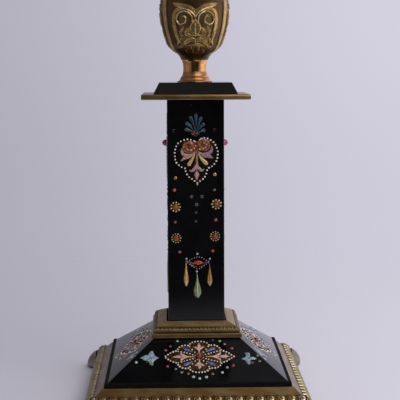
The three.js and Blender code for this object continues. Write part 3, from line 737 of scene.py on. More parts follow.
def strung(solid, lines, finish, pitch=2.3, radius=0.7, rise=0.75, stray=0.08, seed=1):
    """Beads along lines on a flat face. A line that ends where it starts is closed."""
    points, edges = [], []
    for line in lines:
        start = len(points)
        closed = (Vector(line[0]) - Vector(line[-1])).length < 1e-6
        kept_line = line[:-1] if closed else line
        points += [(*point, 0) for point in kept_line]
        edges += [(start + i, start + i + 1) for i in range(len(kept_line) - 1)]
        if closed:
            edges.append((len(points) - 1, start))
    pattern = bpy.data.meshes.new("lines")
    pattern.from_pydata(points, edges, [])
    sizes = {"Pitch": pitch, "Radius": radius, "Rise": rise, "Stray": stray, "Seed": seed, "Finish": finish}
    solid.take(grown(bead_string, pattern, sizes))


def dot(solid, x, y, radius, finish, rise=None, lift=0.0):
    """One domed bead, its lower half sunk in the cement."""
    rings, spokes = 4, 10
    height = rise or radius
    points = [(x, y, lift + height)]
    for i in range(1, rings + 1):
        turn = QUARTER * i / rings
        for j in range(spokes):
            place = around(x, y, 2 * math.pi * j / spokes, radius * math.sin(turn))
            points.append((*place, lift + height * math.cos(turn)))
    points.append((x, y, lift - 0.15))
    last = len(points) - 1
    faces = []
    for j in range(spokes):
        k = (j + 1) % spokes
        faces.append((0, 1 + j, 1 + k))
        for i in range(rings - 1):
            row, below = 1 + i * spokes, 1 + (i + 1) * spokes
            faces.append((row + j, below + j, below + k, row + k))
        faces.append((last - spokes + j, last, last - spokes + k))
    solid.add(points, faces, finish)


def plate(solid, outline, thick, finish, ease=0.25, sink=0.08):
    """A thin flat piece with an eased upper edge. The outline is drawn in towards its own middle."""
    middle = sum((Vector(point) for point in outline), Vector((0, 0))) / len(outline)
    from_middle = [Vector(point) - middle for point in outline]
    drawn_in = 1 - ease / max(way.length for way in from_middle)
    levels = [(1.0, -sink), (1.0, thick - ease), (drawn_in, thick)]
    rings = [[(*(middle + way * share), height) for way in from_middle] for share, height in levels]
    solid.loft(rings, finish)


# Medallions on the slopes: a four-lobed piece of brown enamel edged with cream beads, a ruby at its
# middle, a pink lily in each lobe and blue tears between them. Coordinates: x across, y up the slope.
SLOPE_HALF = 60
STONE_TOP_HALF, STONE_TOP = 29.65, 46.6
SLOPE_ANGLE = math.atan2(STONE_TOP - STONE_EDGE, SLOPE_HALF - STONE_TOP_HALF)
ON_SLOPE = Matrix.Translation((0, -SLOPE_HALF, STONE_EDGE)) @ Matrix.Rotation(SLOPE_ANGLE, 4, "X")


def laid(name, solid, place, nodes=(), sides=SIDES, low=0.5):
    """The same ornament laid on each side: drawn flat once, fired low, set on the front face, then turned."""
    solid.points = [place @ Vector((x, y, z * low)) for x, y, z in solid.points]
    for side in sides:
        quarter = SIDES.index(side)
        stands_for = [f"{node}_{side}" for node in nodes]
        finished(f"{name}_{side}", solid, stands_for, quarter * QUARTER, crisp=50)


MEDALLION_X, MEDALLION_Y = 1.2, 21.2
LOBE_TIP = (23.6, 0)
SIDE_LOBE = [LOBE_TIP, (21.2, 2.0), (18.6, 3.9), (15.3, 5.2)]
CORNER_LOBE = [(15.3, 5.2), (14.2, 7.3), (12.6, 8.9), (10.3, 9.9), (7.0, 9.7)]
TOP_LOBE = [(7.0, 9.7), (5.8, 11.5), (3.6, 12.9), (0, 13.4)]


def mirrored(line, across, up):
    """The line in one of the four quarters of the medallion, set at the medallion's middle."""
    return [(MEDALLION_X + across * x, MEDALLION_Y + up * y) for x, y in line]


medallion = Solid()
quarter_edge = [point for lobe in (SIDE_LOBE, CORNER_LOBE, TOP_LOBE) for point in flowing(lobe, 8)[:-1]]
quarter_edge.append(Vector(TOP_LOBE[-1]))
edge = mirrored(quarter_edge, 1, 1)[:-1] + mirrored(quarter_edge, -1, 1)[::-1][:-1]
edge += mirrored(quarter_edge, -1, -1)[:-1] + mirrored(quarter_edge, 1, -1)[::-1][:-1]
plate(medallion, edge, 0.35, brown)
strung(medallion, [[*edge, edge[0]]], cream, 2.1, 0.67, 0.95, 0.08, 3)
QUARTERS = [(1, 1), (1, -1), (-1, 1), (-1, -1)]
LOBE_LINES = [[(4.4, 1.8), (9.4, 3.5), (14.2, 4.9)], [(2.9, 3.8), (4.8, 6.2), (6.4, 8.7)]]
inner_lines = [mirrored(line, across, up) for across, up in QUARTERS for line in LOBE_LINES]
strung(medallion, inner_lines, cream, 2.05, 0.6, 0.9, 0.07, 5)


def lily(solid, x, y, heading, size, spread, finish, lift=0.3):
    """Three petals on a stem, pointing along the heading in degrees. The spread opens the side petals."""
    ahead = Vector((math.cos(math.radians(heading)), math.sin(math.radians(heading))))
    side = Vector((-ahead.y, ahead.x))
    base = Vector((x, y))

    def at(along, across):
        point = base + (ahead * along + side * across) * size
        return (point.x, point.y)

    stroke(solid, [at(0, 0), at(3.2, 0), at(5.6, 0)], [0.25, 0.45, 0.6, 0.6], 0.5, finish, 8, 5, lift)
    head = [at(5.7, 0), at(7.8, 0), at(10.2, 0)]
    stroke(solid, head, [0.3, 1.25, 1.2, 0.65, 0.1], 0.75, finish, 10, 6, lift)
    for hand in (1, -1):
        petal = [(3.2, 0.2), (4.9, 0.8), (6.0, 1.6), (6.5, 2.6)]
        petal = [at(along, across * spread * hand) for along, across in petal]
        stroke(solid, petal, [0.3, 0.8, 0.8, 0.15], 0.65, finish, 9, 6, lift)
        stroke(solid, [at(0.6, 0.5 * hand), at(4.0, 0.9 * hand)], [0.1, 0.24, 0.1], 0.3, maroon, 6, 4, lift)


LILIES = [(0, 4.6, 1.58, 1.0), (180, 3.6, 1.42, 1.0), (90, 2.3, 0.95, 1.5), (270, 2.1, 0.85, 1.5)]
for heading, reach, size, spread in LILIES:
    lily_at = around(MEDALLION_X, MEDALLION_Y, math.radians(heading), reach)
    lily(medallion, *lily_at, heading, size, spread, blush)
for hand in (1, -1):
    barb = mirrored([(16.2, 0.3), (17.8, 0.9), (18.4, 2.0)], 1, hand)
    stroke(medallion, barb, [0.3, 0.6, 0.2], 0.6, blush, 6, 5, 0.3)
for across, up in QUARTERS:
    tear = mirrored([(4.8, 4.2), (7.8, 5.9), (10.8, 7.5)], across, up)
    stroke(medallion, tear, [0.15, 0.6, 1.05, 1.2, 0.5], 0.8, blue, 10, 6, 0.3)
    root = mirrored([(4.6, 4.1), (6.4, 5.1)], across, up)
    stroke(medallion, root, [0.3, 0.5, 0.15], 0.75, lilac, 5, 4, 0.45)
for i in range(8):
    grain_at = around(MEDALLION_X, MEDALLION_Y, math.radians(22.5 + 45 * i), 3.0, 2.8)
    dot(medallion, *grain_at, 0.5, (gilt_green, shell_pink)[i % 2], 0.7, 0.25)
dot(medallion, MEDALLION_X, MEDALLION_Y, 2.0, ruby, 4.4, 0.25)
laid("jewelled_medallion", medallion, ON_SLOPE, ["medallion"])

# Four-pointed leaves at each end of a slope: petals of pale glass on a turquoise ground, with dark seams
# across the middle. The left leaf is drawn in to points, and the right one has two rounded lobes.
LEFT_OUTLINE = [
    (-7.3, -0.1), (-5.2, 1.1), (-3.5, 2.4), (-1.5, 2.6), (-0.8, 4.6), (0.2, 6.0), (1.5, 5.9), (2.0, 4.1),
    (2.7, 2.4), (4.0, 0.8), (5.8, 0.0), (4.0, -1.0), (2.3, -2.7), (1.8, -4.3), (1.8, -6.0), (0.8, -6.3),
    (-0.5, -5.2), (-1.0, -3.1), (-2.3, -2.2), (-4.3, -2.1), (-5.5, -0.7),
]
LEFT_PETALS = [
    ([(-6.3, 0.0), (-4.0, 0.3), (-1.2, 0.2)], [0.15, 1.0, 1.6, 1.2, 0.3], sky),
    ([(0.9, 5.4), (0.7, 3.8), (0.5, 1.2)], [0.5, 0.9, 1.1, 0.9, 0.4], sky),
    ([(5.2, 0.0), (3.4, 0.1), (1.4, 0.6)], [0.1, 0.6, 1.2, 1.5, 0.6], frost),
    ([(1.2, -5.8), (0.6, -4.2), (0.6, -1.6)], [0.3, 0.8, 0.9, 0.7, 0.3], sea_green),
]
LEFT_SEAMS = [
    ([(-2.2, -1.8), (-0.8, -0.5), (-0.2, 0.6)], teal),
    ([(0.3, -1.6), (0.8, -0.3), (0.6, 0.8)], blue),
]
RIGHT_OUTLINE = [
    (-4.5, -0.3), (-2.9, 0.5), (-1.5, 1.2), (-1.0, 2.4), (-1.6, 3.9), (-2.0, 4.6), (-0.6, 5.0), (0.9, 4.8),
    (1.6, 3.4), (1.1, 1.4), (2.1, 1.0), (3.9, 1.2), (6.1, -0.2), (4.4, -1.1), (1.6, -1.1), (1.5, -2.9),
    (1.5, -4.6), (0.4, -5.0), (-0.8, -4.4), (-1.5, -2.4), (-1.9, -1.4), (-3.1, -1.0),
]
RIGHT_PETALS = [
    ([(-3.9, -0.2), (-2.2, -0.1), (-0.6, 0.2)], [0.1, 0.45, 0.8, 0.8, 0.3], turquoise),
    ([(-0.2, 0.9), (0.7, 2.8), (0.0, 4.1), (-1.5, 4.3)], [0.4, 0.9, 1.0, 0.7, 0.15], frost),
    ([(5.4, -0.2), (3.6, 0.1), (1.2, 0.0)], [0.1, 0.6, 0.85, 0.7, 0.3], sky),
    ([(-0.6, -1.2), (0.1, -3.0), (0.3, -4.4)], [0.4, 1.1, 1.3, 1.1], frost),
]
RIGHT_SEAMS = [([(-0.5, -0.4), (0.6, 0.3), (1.9, 0.9)], teal)]
LEAVES = [
    ("left", (-31.9, 20.6), LEFT_OUTLINE, LEFT_PETALS, LEFT_SEAMS, (-34.2, 17.4, 0.85, maroon)),
    ("right", (34.3, 19.3), RIGHT_OUTLINE, RIGHT_PETALS, RIGHT_SEAMS, (37.0, 15.6, 0.95, rust)),
]
for end, leaf_middle, outline, petals, seams, bead in LEAVES:
    leaf = Solid()
    middle = Vector(leaf_middle)
    plate(leaf, [middle + Vector(point) for point in outline], 0.35, turquoise)
    for spine, halves, glass in petals:
        stroke(leaf, [middle + Vector(point) for point in spine], halves, 0.5, glass, 10, 6, 0.3)
    for spine, glass in seams:
        seam = [middle + Vector(point) for point in spine]
        stroke(leaf, seam, [0.1, 0.4, 0.35, 0.1], 0.4, glass, 6, 4, 0.6)
    dot(leaf, *bead, 0.8)
    laid(f"turquoise_leaf_{end}", leaf, ON_SLOPE, [f"leaf_{end}"])

# Loose beads round the medallion: each a single drop of glass, laid by eye and cemented to the slope.
# Two of the pink ones carry a dark grain.
SLOPE_BEADS = [
    (-13.5, 35.1, 0.95, leaf_gold), (-18.3, 30.6, 0.95, steel_blue), (-21.6, 27.1, 1.0, rose),
    (11.0, 35.8, 0.8, smoke), (15.7, 34.7, 0.95, leaf_gold), (18.9, 32.0, 0.95, lilac),
    (23.7, 28.3, 1.05, rose), (-20.3, 13.3, 0.95, rose), (-14.7, 11.0, 0.8, frost),
    (-10.8, 8.2, 1.0, stone_grey), (-6.4, 7.0, 0.95, russet), (-3.0, 4.2, 1.1, white),
    (1.1, 2.8, 1.05, white), (5.7, 3.9, 1.1, white), (9.9, 6.6, 1.0, orange),
    (16.5, 7.6, 1.0, white), (19.9, 11.9, 1.0, frost), (23.9, 13.4, 1.1, red),
    (-41.5, 17.0, 1.0, white), (42.1, 16.9, 0.9, stone_grey), (41.0, 21.7, 0.85, stone_grey),
]
slope_beads = Solid()
for x, y, radius, glass in SLOPE_BEADS:
    dot(slope_beads, x, y, radius, glass, radius * 0.8)
for x, y in ((23.7, 28.3), (-21.6, 27.1)):
    dot(slope_beads, x, y, 0.48, maroon, 0.2, 0.72)
laid("slope_beads", slope_beads, ON_SLOPE)


# Collar: four mitred lengths of gilt moulding round the foot of the column.
# A plain foot band, a sunk line, a row of small leaves, and a plain band sloping up to the stone.

# The round that the leaves stand on: how far out and how high its middle lies, and its radius.
COLLAR_ROUND = (27.1, 50.9, 2.7)
COLLAR_PROFILE = [
    (20.9, 46.7), (30.8, 46.7), (31, 46.9), (31, 49.2), (30.8, 49.6), (30.3, 49.9), (29.4, 50.2),
    *arc(*COLLAR_ROUND, 0, 80, 8), (27.3, 53.8), (26.9, 54.2), (21.6, 56.5), (21.3, 56.6), (20.9, 56.6),
]
COLLAR_CREST = (0.24, 0.17, 0.075, 1)
COLLAR_BODY = (0.19, 0.125, 0.045, 1)
COLLAR_HOLLOW = (0.03, 0.015, 0.006, 1)
PALE_GLANCE = (0.9, 0.97, 1, 1)
collar_gilt = aged_metal(
    "collar_gilt", COLLAR_CREST, COLLAR_BODY, COLLAR_HOLLOW, 0.4, reach=1.0, wear_scale=90.0, upright=3.0,
    lacquer=0.25, glance=PALE_GLANCE
)
# The sloping band takes a lighter, less metallic copy of the collar gilt, as painted light on a band that
# mirrors the dark ceiling.
LIT_BAND_CREST = (0.34, 0.24, 0.11, 1)
LIT_BAND_BODY = (0.28, 0.165, 0.065, 1)
lit_collar_band = aged_metal(
    "lit_collar_band", LIT_BAND_CREST, LIT_BAND_BODY, LIT_BAND_BODY, 0.45, reach=0.4, wear_scale=90.0, upright=3.0,
    metallic=0.6, glance=PALE_GLANCE
)
BAND_FOOT = 54
LEAF_COUNT, LEAF_PITCH = 21, 2.7
small_leaf = Solid()
stroke(small_leaf, [(0, 2.0), (0, -1.7)], [0.25, 0.85, 0.95, 0.7, 0.1], 0.3, collar_gilt, 8, 6)
leaf_gap = [(LEAF_PITCH / 2, 2.0), (LEAF_PITCH / 2, -1.9)]
stroke(small_leaf, leaf_gap, [0.1, 0.2, 0.26, 0.1], 0.22, collar_gilt, 4, 4)
leaf_row = rolled_row("small_leaf", small_leaf, collar_gilt, LEAF_COUNT, LEAF_PITCH, *COLLAR_ROUND)
for quarter, side in enumerate(SIDES):
    rail = Solid()
    moulding(rail, COLLAR_PROFILE, collar_gilt)
    rail.refinish(lit_collar_band, lambda heights: min(heights) > BAND_FOOT)
    rail.take(leaf_row)
    finished(f"leaf_moulding_{side}", rail, [f"collar_rail_{side}"], quarter * QUARTER)


# Column ornament: a palmette over a heart edged with cream beads, two strings of rosettes and beads,
# and an almond with three drops. Coordinates: x across the face, y the height above the floor.
COLUMN_HALF = 19.6
ON_COLUMN = Matrix.Translation((0, -COLUMN_HALF, 0)) @ Matrix.Rotation(QUARTER, 4, "X")

# Palmette: seven blunt teal petals that spread from one foot, each with a dark vein. A small bud of
# brown, rose and maroon glass covers the foot.
palmette = Solid()
PALMETTE_FOOT = (0.3, 186.4)
PETAL_TIPS = [
    (0.2, 200.9), (-3.9, 199.3), (4.0, 198.6), (-6.9, 194.9), (6.0, 194.3), (-7.5, 190.3), (6.6, 189.7),
]
for tip_x, tip_y in PETAL_TIPS:
    reach = Vector((tip_x - PALMETTE_FOOT[0], tip_y - PALMETTE_FOOT[1]))
    start = Vector(PALMETTE_FOOT) + reach * 0.16
    bend = Vector(PALMETTE_FOOT) + reach * 0.6 + Vector((-0.09 * tip_x, 0.5))
    petal = [start, bend, (tip_x, tip_y)]
    stroke(palmette, petal, [0.2, 0.3, 0.42, 0.6, 0.85, 1.15, 1.25], 0.6, teal, 20, 6, blunt=True)
    stroke(palmette, [start + reach * 0.1, bend, start + reach * 0.7], [0.1, 0.3, 0.1], 0.2, navy, 12, 4, 0.5)
dot(palmette, 0.3, 186.6, 1.5, brown, 0.8)
stroke(palmette, [(-3.2, 187.4), (-1.6, 186.6), (-0.2, 185.7)], [0.12, 0.3, 0.15], 0.5, rose, 8, 4, 0.2)
dot(palmette, -1.5, 187.9, 1.1, maroon, 0.7, 0.1)
dot(palmette, 0.6, 187.4, 0.75, dusk, 0.7, 0.3)
dot(palmette, 2.0, 187.2, 0.6, smoke, 0.6, 0.1)
laid("palmette_petals", palmette, ON_COLUMN, ["palmette"])

# Heart: a dark ground edged with cream beads. Two coiled discs joined by a bridge lie at its top, pink
# and lilac leaves below them, a yellow blade to each side of the stem, and a bud at its point.
heart = Solid()
HEART_EDGE = [
    (0.6, 181.7), (2.6, 183.0), (6.0, 184.1), (9.7, 183.0), (13.2, 180.0), (15.0, 175.4), (15.0, 171.2),
    (13.5, 167.3), (10.6, 164.2), (8.0, 163.1), (7.5, 161.0), (6.4, 157.7), (4.0, 155.2), (0.9, 153.2),
]
HEART_EDGE_LEFT = [
    (0.6, 181.7), (-2.2, 182.4), (-5.4, 183.3), (-9.0, 182.4), (-12.5, 180.0), (-14.4, 175.6), (-14.4, 171.4),
    (-13.1, 166.8), (-9.8, 164.2), (-7.2, 163.1), (-6.8, 160.3), (-4.8, 157.4), (-1.8, 155.2), (0.9, 153.2),
]
right_edge = flowing(HEART_EDGE, 39)
left_edge = flowing(HEART_EDGE_LEFT, 39)
heart_edge = right_edge[:-1] + left_edge[::-1][:-1]
plate(heart, heart_edge, 0.3, dark_ground)
for line, seed in ((right_edge[4:], 11), (left_edge[2:-2], 12)):
    strung(heart, [line], cream, 2.3, 0.65, 1.0, 0.1, seed)
BRIDGE = [
    (-3.0, 181.4), (-0.4, 182.0), (1.4, 181.9), (3.4, 182.6), (3.6, 177.0), (1.5, 174.5), (-0.6, 174.5),
    (-2.6, 176.6),
]
plate(heart, BRIDGE, 0.5, rust)
for hand, centre_x, centre_y in ((-1, -4.7, 178.0), (1, 5.5, 179.3)):
    disc = [around(centre_x, centre_y, math.radians(15 * i), 4.6, 4.2) for i in range(24)]
    plate(heart, disc, 0.55, rust)
    coil = []
    for i in range(17):
        reach = 4.2 - 0.19 * i
        coil.append(around(centre_x, centre_y, math.radians(-80 + 38 * i), hand * reach, 0.93 * reach))
    stroke(heart, coil, [0.3, 0.42, 0.45, 0.4, 0.35, 0.3, 0.25], 0.4, russet, 66, 5, 0.5)
    dot(heart, centre_x - hand * 0.2 * (1 + hand), centre_y + 1.3, 1.35, maroon, 0.55, 0.5)
HEART_SPOTS = [
    (-5.6, 176.4, 0.55), (-3.1, 175.9, 0.68), (-0.9, 177.0, 0.58), (-0.2, 178.8, 0.5), (-2.9, 180.3, 0.5),
    (-0.4, 181.6, 0.55), (2.7, 176.5, 0.6), (5.2, 176.8, 0.6), (6.8, 177.7, 0.55), (5.5, 180.6, 0.5),
    (7.4, 179.8, 0.5), (2.6, 182.9, 0.6), (4.4, 183.8, 0.62), (-8.0, 178.2, 0.4), (8.8, 181.6, 0.4),
]
for x, y, radius in HEART_SPOTS:
    dot(heart, x, y, radius, shell_pink, 0.5, 0.75)
HEART_LEAVES = [
    ([(-0.6, 174.6), (-4.4, 171.6), (-7.6, 170.6), (-10.4, 168.3)], [0.4, 1.1, 1.3, 0.9, 0.1], pink),
    ([(-3.6, 172.8), (-7.4, 172.4), (-9.4, 174.2), (-9.5, 177.3)], [0.5, 1.1, 1.1, 0.8, 0.1], pink),
    ([(1.6, 174.8), (5.2, 172.2), (8.6, 172.0), (12.1, 170.3)], [0.4, 1.2, 1.5, 1.0, 0.1], lilac),
    ([(4.6, 173.4), (8.4, 173.6), (10.8, 175.6), (10.9, 179.2)], [0.5, 1.2, 1.3, 1.0, 0.1], lilac),
    ([(-0.3, 174.8), (-2.0, 170.4), (-5.3, 165.0)], [0.2, 0.35, 0.55, 0.8, 1.05, 1.25, 1.35], straw),
    ([(1.4, 174.8), (3.6, 170.4), (8.1, 165.8)], [0.2, 0.35, 0.55, 0.8, 1.1, 1.3, 1.4], lemon),
    ([(0.7, 174.6), (0.6, 168.0), (0.5, 162.2)], [0.2, 0.4, 0.55, 0.7], pink),
    ([(0.3, 166.0), (-0.9, 163.2), (-2.8, 161.5), (-4.7, 162.2)], [0.3, 0.85, 1.1, 0.75, 0.12], pink),
    ([(0.9, 166.0), (2.2, 163.4), (4.0, 161.8), (5.9, 162.9)], [0.3, 0.85, 1.1, 0.75, 0.12], pink),
    ([(0.6, 161.8), (0.6, 158.8), (0.5, 154.9)], [0.2, 1.25, 1.8, 1.0, 0.15], pink),
]
for spine, halves, glass in HEART_LEAVES:
    stroke(heart, spine, halves, 0.75, glass, 20, 6, 0.25, blunt=glass in (lemon, straw))
# A thin paler rim is laid along the leaves, and a dark red one beside the stem.
HEART_RIMS = [
    ([(-1.2, 174.0), (-4.4, 172.9), (-7.6, 173.4), (-9.6, 176.8)], shell_pink),
    ([(-1.8, 173.2), (-4.8, 170.9), (-9.6, 168.6)], shell_pink),
    ([(2.2, 174.0), (5.4, 173.4), (9.4, 174.2), (11.6, 178.6)], pink),
    ([(3.0, 172.6), (7.4, 170.9), (11.6, 170.2)], pink),
    ([(1.1, 173.6), (1.2, 168.0), (1.9, 164.4), (4.6, 161.4)], shell_pink),
    ([(-0.1, 173.6), (-0.4, 168.0), (-1.2, 164.8), (-3.6, 161.4)], maroon),
    ([(0.6, 161.6), (0.6, 158.6), (0.5, 155.4)], shell_pink),
]
for spine, glass in HEART_RIMS:
    stroke(heart, spine, [0.08, 0.2, 0.2, 0.08], 0.35, glass, 16, 4, 0.85)
dot(heart, 0.8, 153.5, 0.6, gold_bead, 0.7, 0.2)
dot(heart, 1.0, 152.0, 0.6, frost, 0.6)
laid("beaded_heart", heart, ON_COLUMN, ["heart"])

# Pendant: two beaded lids round a coral gem, with a gold drop at each corner and a green one below.
# Each drop is laid in three layers: an edge of another glass, the drop, and a bright line on its crest that
# is a painted highlight.
pendant = Solid()
ALMOND_X, ALMOND_Y = 1.2, 97.6
LIDS = [([(-7.4, 0.8), (0, 3.9), (7.4, 0.8)], 21), ([(-7.2, -0.2), (0, -4.4), (7.2, -0.2)], 22)]
for lid, seed in LIDS:
    smooth_lid = flowing([(ALMOND_X + x, ALMOND_Y + y) for x, y in lid], 16)
    strung(pendant, [smooth_lid], frost, 1.75, 0.44, 0.75, 0.06, seed)
gem = [(ALMOND_X - 3.3, ALMOND_Y - 0.2), (ALMOND_X + 3.3, ALMOND_Y - 0.2)]
stroke(pendant, gem, [0.15, 1.25, 1.6, 1.25, 0.15], 0.9, coral, 12, 8)
for hand in (1, -1):
    corner = [(ALMOND_X + hand * x, ALMOND_Y + y) for x, y in ((6.6, 0.6), (4.6, -0.2), (2.8, -1.3))]
    stroke(pendant, corner, [0.3, 0.4, 0.3, 0.12], 0.5, amber, 8, 4)
    line = [(ALMOND_X + hand * x, ALMOND_Y + y) for x, y in ((6.6, 0.2), (3.8, -2.3), (0.6, -3.0))]
    stroke(pendant, line, [0.2, 0.3, 0.15], 0.45, amber, 8, 4)
DROPS = [
    (-7.1, 99.2, 81.1, 1.85, 0.1, deep_gold, amber, pale_gold),
    (9.3, 96.6, 81.1, 1.85, 0.1, deep_gold, amber, gold_bead),
    (0.6, 89.6, 72.9, 2.4, 0.5, leaf_green, gilt_green, white),
]
DROP_HALVES = [0.12, 0.3, 0.62, 1.0, 1.5, 1.85, 1.75, 0.5]
DROP_WIDEST = max(DROP_HALVES)
for x, top, bottom, half, drift, glass, edge_glass, crest_highlight_glass in DROPS:
    spine = [(x, top), (x + drift * 0.4, (top + bottom) / 2), (x + drift, bottom)]
    stroke(pendant, spine, [value * half / DROP_WIDEST for value in DROP_HALVES], 1.0, edge_glass, 18, 8)
    slim = [value * 0.66 * half / DROP_WIDEST for value in DROP_HALVES]
    stroke(pendant, spine, slim, 0.5, glass, 18, 6, 0.72)
    stroke(pendant, spine, [0.1, 0.18, 0.3, 0.42, 0.5, 0.15], 0.3, crest_highlight_glass, 14, 4, 1.1)
drop_edge = [(0.1, 84.0), (-1.5, 78.6), (-1.4, 75.0), (-0.2, 73.2)]
strung(pendant, [drop_edge], shell_pink, 1.1, 0.28, 0.4, 0.03, 25)
for x, y in ((0.8, 103.6), (-6.8, 100.2), (9.5, 100.1), (0.4, 91.2)):
    dot(pendant, x, y, 0.72, white, 0.8)
dot(pendant, 0.4, 89.5, 0.42, steel_blue, 0.5)
laid("almond_and_drops", pendant, ON_COLUMN, ["pendant"])

# Rosettes: a ring of gold beads round an amber disc with a red or orange drop. The lower pair is finer
# and greener. Each line gives the middle, the count of beads, their radius and glass, and the drop.
ROSETTES = [
    (-14.2, 136.6, 9, 0.66, pale_gold, 1.25, coral), (14.2, 138.3, 9, 0.66, pale_gold, 0.8, orange),
    (-13.8, 114.7, 11, 0.52, leaf_gold, 1.1, coral), (13.1, 115.9, 11, 0.52, leaf_gold, 1.1, coral),
]
ROSETTE_REACH = 3.1
rosettes = Solid()
for number, (x, y, count, radius, glass, drop_radius, drop_glass) in enumerate(ROSETTES):
    ring = []
    for i in range(count * 3 + 1):
        turn = 2 * math.pi * (i % (count * 3)) / (count * 3) + 0.3 * number
        ring.append(around(x, y, turn, ROSETTE_REACH))
    pitch = 2 * math.pi * ROSETTE_REACH / count
    strung(rosettes, [ring], glass, pitch, radius, 0.9, 0.05, 31 + number)
    dot(rosettes, x, y, 2.2, amber, 0.55)
    dot(rosettes, x + 0.2, y, drop_radius, drop_glass, 0.6, 0.4)
laid("rosettes", rosettes, ON_COLUMN)

# Single beads down the face, each cemented to the stone, with grey rings of cement where three have
# come off.
COLUMN_BEADS = [
    (-14.0, 156.7, 1.15, gold_bead), (13.1, 159.0, 1.25, gold_bead), (-14.8, 148.3, 1.1, orange),
    (12.8, 148.3, 1.0, dusk), (-14.4, 125.9, 0.95, dusk), (13.7, 127.3, 1.05, rose),
    (-11.4, 105.0, 1.0, orange), (11.5, 105.6, 1.05, coral), (-3.0, 143.6, 1.2, smoke),
    (4.1, 143.6, 1.2, smoke), (0.4, 138.1, 1.25, smoke), (0.0, 132.6, 0.8, smoke), (-0.1, 126.4, 0.75, smoke),
]
column_beads = Solid()
for x, y, radius, glass in COLUMN_BEADS:
    dot(column_beads, x, y, radius, glass, radius * 0.85)
for x, y in ((-15.0, 189.3), (13.1, 189.7), (-3.4, 206.1)):
    ring = [around(x, y, math.radians(50 * i), 0.9) for i in range(7)]
    stroke(column_beads, ring, [0.12, 0.16, 0.1], 0.06, smoke, 20, 3)
laid("column_beads", column_beads, ON_COLUMN)

# Cabochons: a domed drop of magenta glass in an amber seat, cemented between the two lobes of the heart
# on each side face. They stand further out than the other enamel.
magenta = enamel("magenta_glass", (0.5, 0.045, 0.2, 1), (0.2, 0.01, 0.08, 1), 0.1, 0.05)
CABOCHON_Y, CABOCHON_RADIUS, CABOCHON_PROUD = 179.8, 2.4, 2.8
for side in ("right", "left"):
    cabochon = Solid()
    dot(cabochon, 0, CABOCHON_Y, CABOCHON_RADIUS, magenta, CABOCHON_PROUD, 0.8)
    dot(cabochon, 0, CABOCHON_Y, CABOCHON_RADIUS + 0.35, amber, 1.0, 0.2)
    laid("magenta_cabochon", cabochon, ON_COLUMN, ["cabochon"], [side], 1.0)


# Capital plate: a thin square of gilt sheet between the column and the block above it. Its underside
# is given a much darker, duller brass.
DULL_CREST = (0.05, 0.035, 0.02, 1)
DULL_BODY = (0.03, 0.02, 0.012, 1)
dull_brass = aged_metal("dull_brass", DULL_CREST, DULL_BODY, GILT_HOLLOW, 0.6)
plate_solid = Solid()
plate_solid.take(eased("capital_plate", 0.12, 2, 30), gilt_brass)
PLATE_BOTTOM = min(point.z for point in plate_solid.points)
plate_solid.refinish(dull_brass, lambda heights: max(heights) < PLATE_BOTTOM + 0.05)
finished("capital_sheet", plate_solid, ["capital_plate"], crisp=30)


# Stem: a waisted spool of copper-coloured gilding on a flared foot, turned and polished.
# The rod runs through its bore and holds it between the stone block and the urn.
COPPER_CREST = (0.95, 0.58, 0.26, 1)
COPPER_BODY = (0.8, 0.36, 0.14, 1)
COPPER_HOLLOW = (0.3, 0.1, 0.04, 1)
POLISHED, RUBBED_DULL = 0.13, 0.4
copper_gilt = aged_metal(
    "copper_gilt", COPPER_CREST, COPPER_BODY, COPPER_HOLLOW, POLISHED, 0.0, 0.0, reach=1.2, wear_scale=260.0
)
# The foot of the stem is darker and rougher, as painted shade that hides a lamp's glint on the flare.
COPPER_SHADED = (0.5, 0.24, 0.1, 1)
STEM_SHADE_FROM, STEM_SHADE_TO = 0.2305, 0.2283
copper_tree = copper_gilt.node_tree
copper_shader = copper_tree.nodes["Principled BSDF"]
bright_copper = copper_shader.inputs["Base Color"].links[0].from_socket
stem_place = add(copper_tree, "ShaderNodeTexCoord")["Object"]
stem_height = add(copper_tree, "ShaderNodeSeparateXYZ", {"Vector": stem_place})["Z"]
stem_shade_share = eased_share(copper_tree, stem_height, STEM_SHADE_FROM, STEM_SHADE_TO)
feed(copper_tree, copper_shader, {
    "Base Color": mixed(copper_tree, stem_shade_share, bright_copper, COPPER_SHADED),
    "Roughness": between(copper_tree, stem_shade_share, POLISHED, RUBBED_DULL),
})
ROD_HOLE = 3.6
STEM_FOOT = [(12.1, 222.2), (12.4, 222.4), (12.3, 222.75)]
STEM_FLARE = [(11.1, 222.95), (10.6, 223.5), (10.1, 224.4), (9.8, 225.1)]
STEM_WAIST = [
    (9.45, 225.75), (8.95, 226.3), (8.5, 227.4), (8.15, 229.2), (8.05, 231.6), (8.2, 234), (8.7, 236.3),
    (9.1, 237.4),
]
STEM_PROFILE = [
    (ROD_HOLE, 222.2), *STEM_FOOT, *flowing(STEM_FLARE, 10), *arc(9.5, 225.4, 0.32, -40, 80, 6),
    *flowing(STEM_WAIST, 40), (ROD_HOLE, 237.4),
]
stem = Solid()
turned(stem, STEM_PROFILE, copper_gilt, 120)
finished("turned_stem", stem, ["stem"], crisp=45)


# Urn: a cast bronze cup with three upright ribs and, in each panel between them, carved scrollwork:
# leaf bands that meet in a V, a pair of volutes, and a bud over spreading leaves, chased in low relief.
BRONZE_CREST = (0.74, 0.58, 0.32, 1)
BRONZE_BODY = (0.36, 0.25, 0.09, 1)
BRONZE_HOLLOW = (0.03, 0.018, 0.009, 1)
bronze = aged_metal("bronze", BRONZE_CREST, BRONZE_BODY, BRONZE_HOLLOW, 0.22, 0.1, 0.012, 1.5, 190.0)

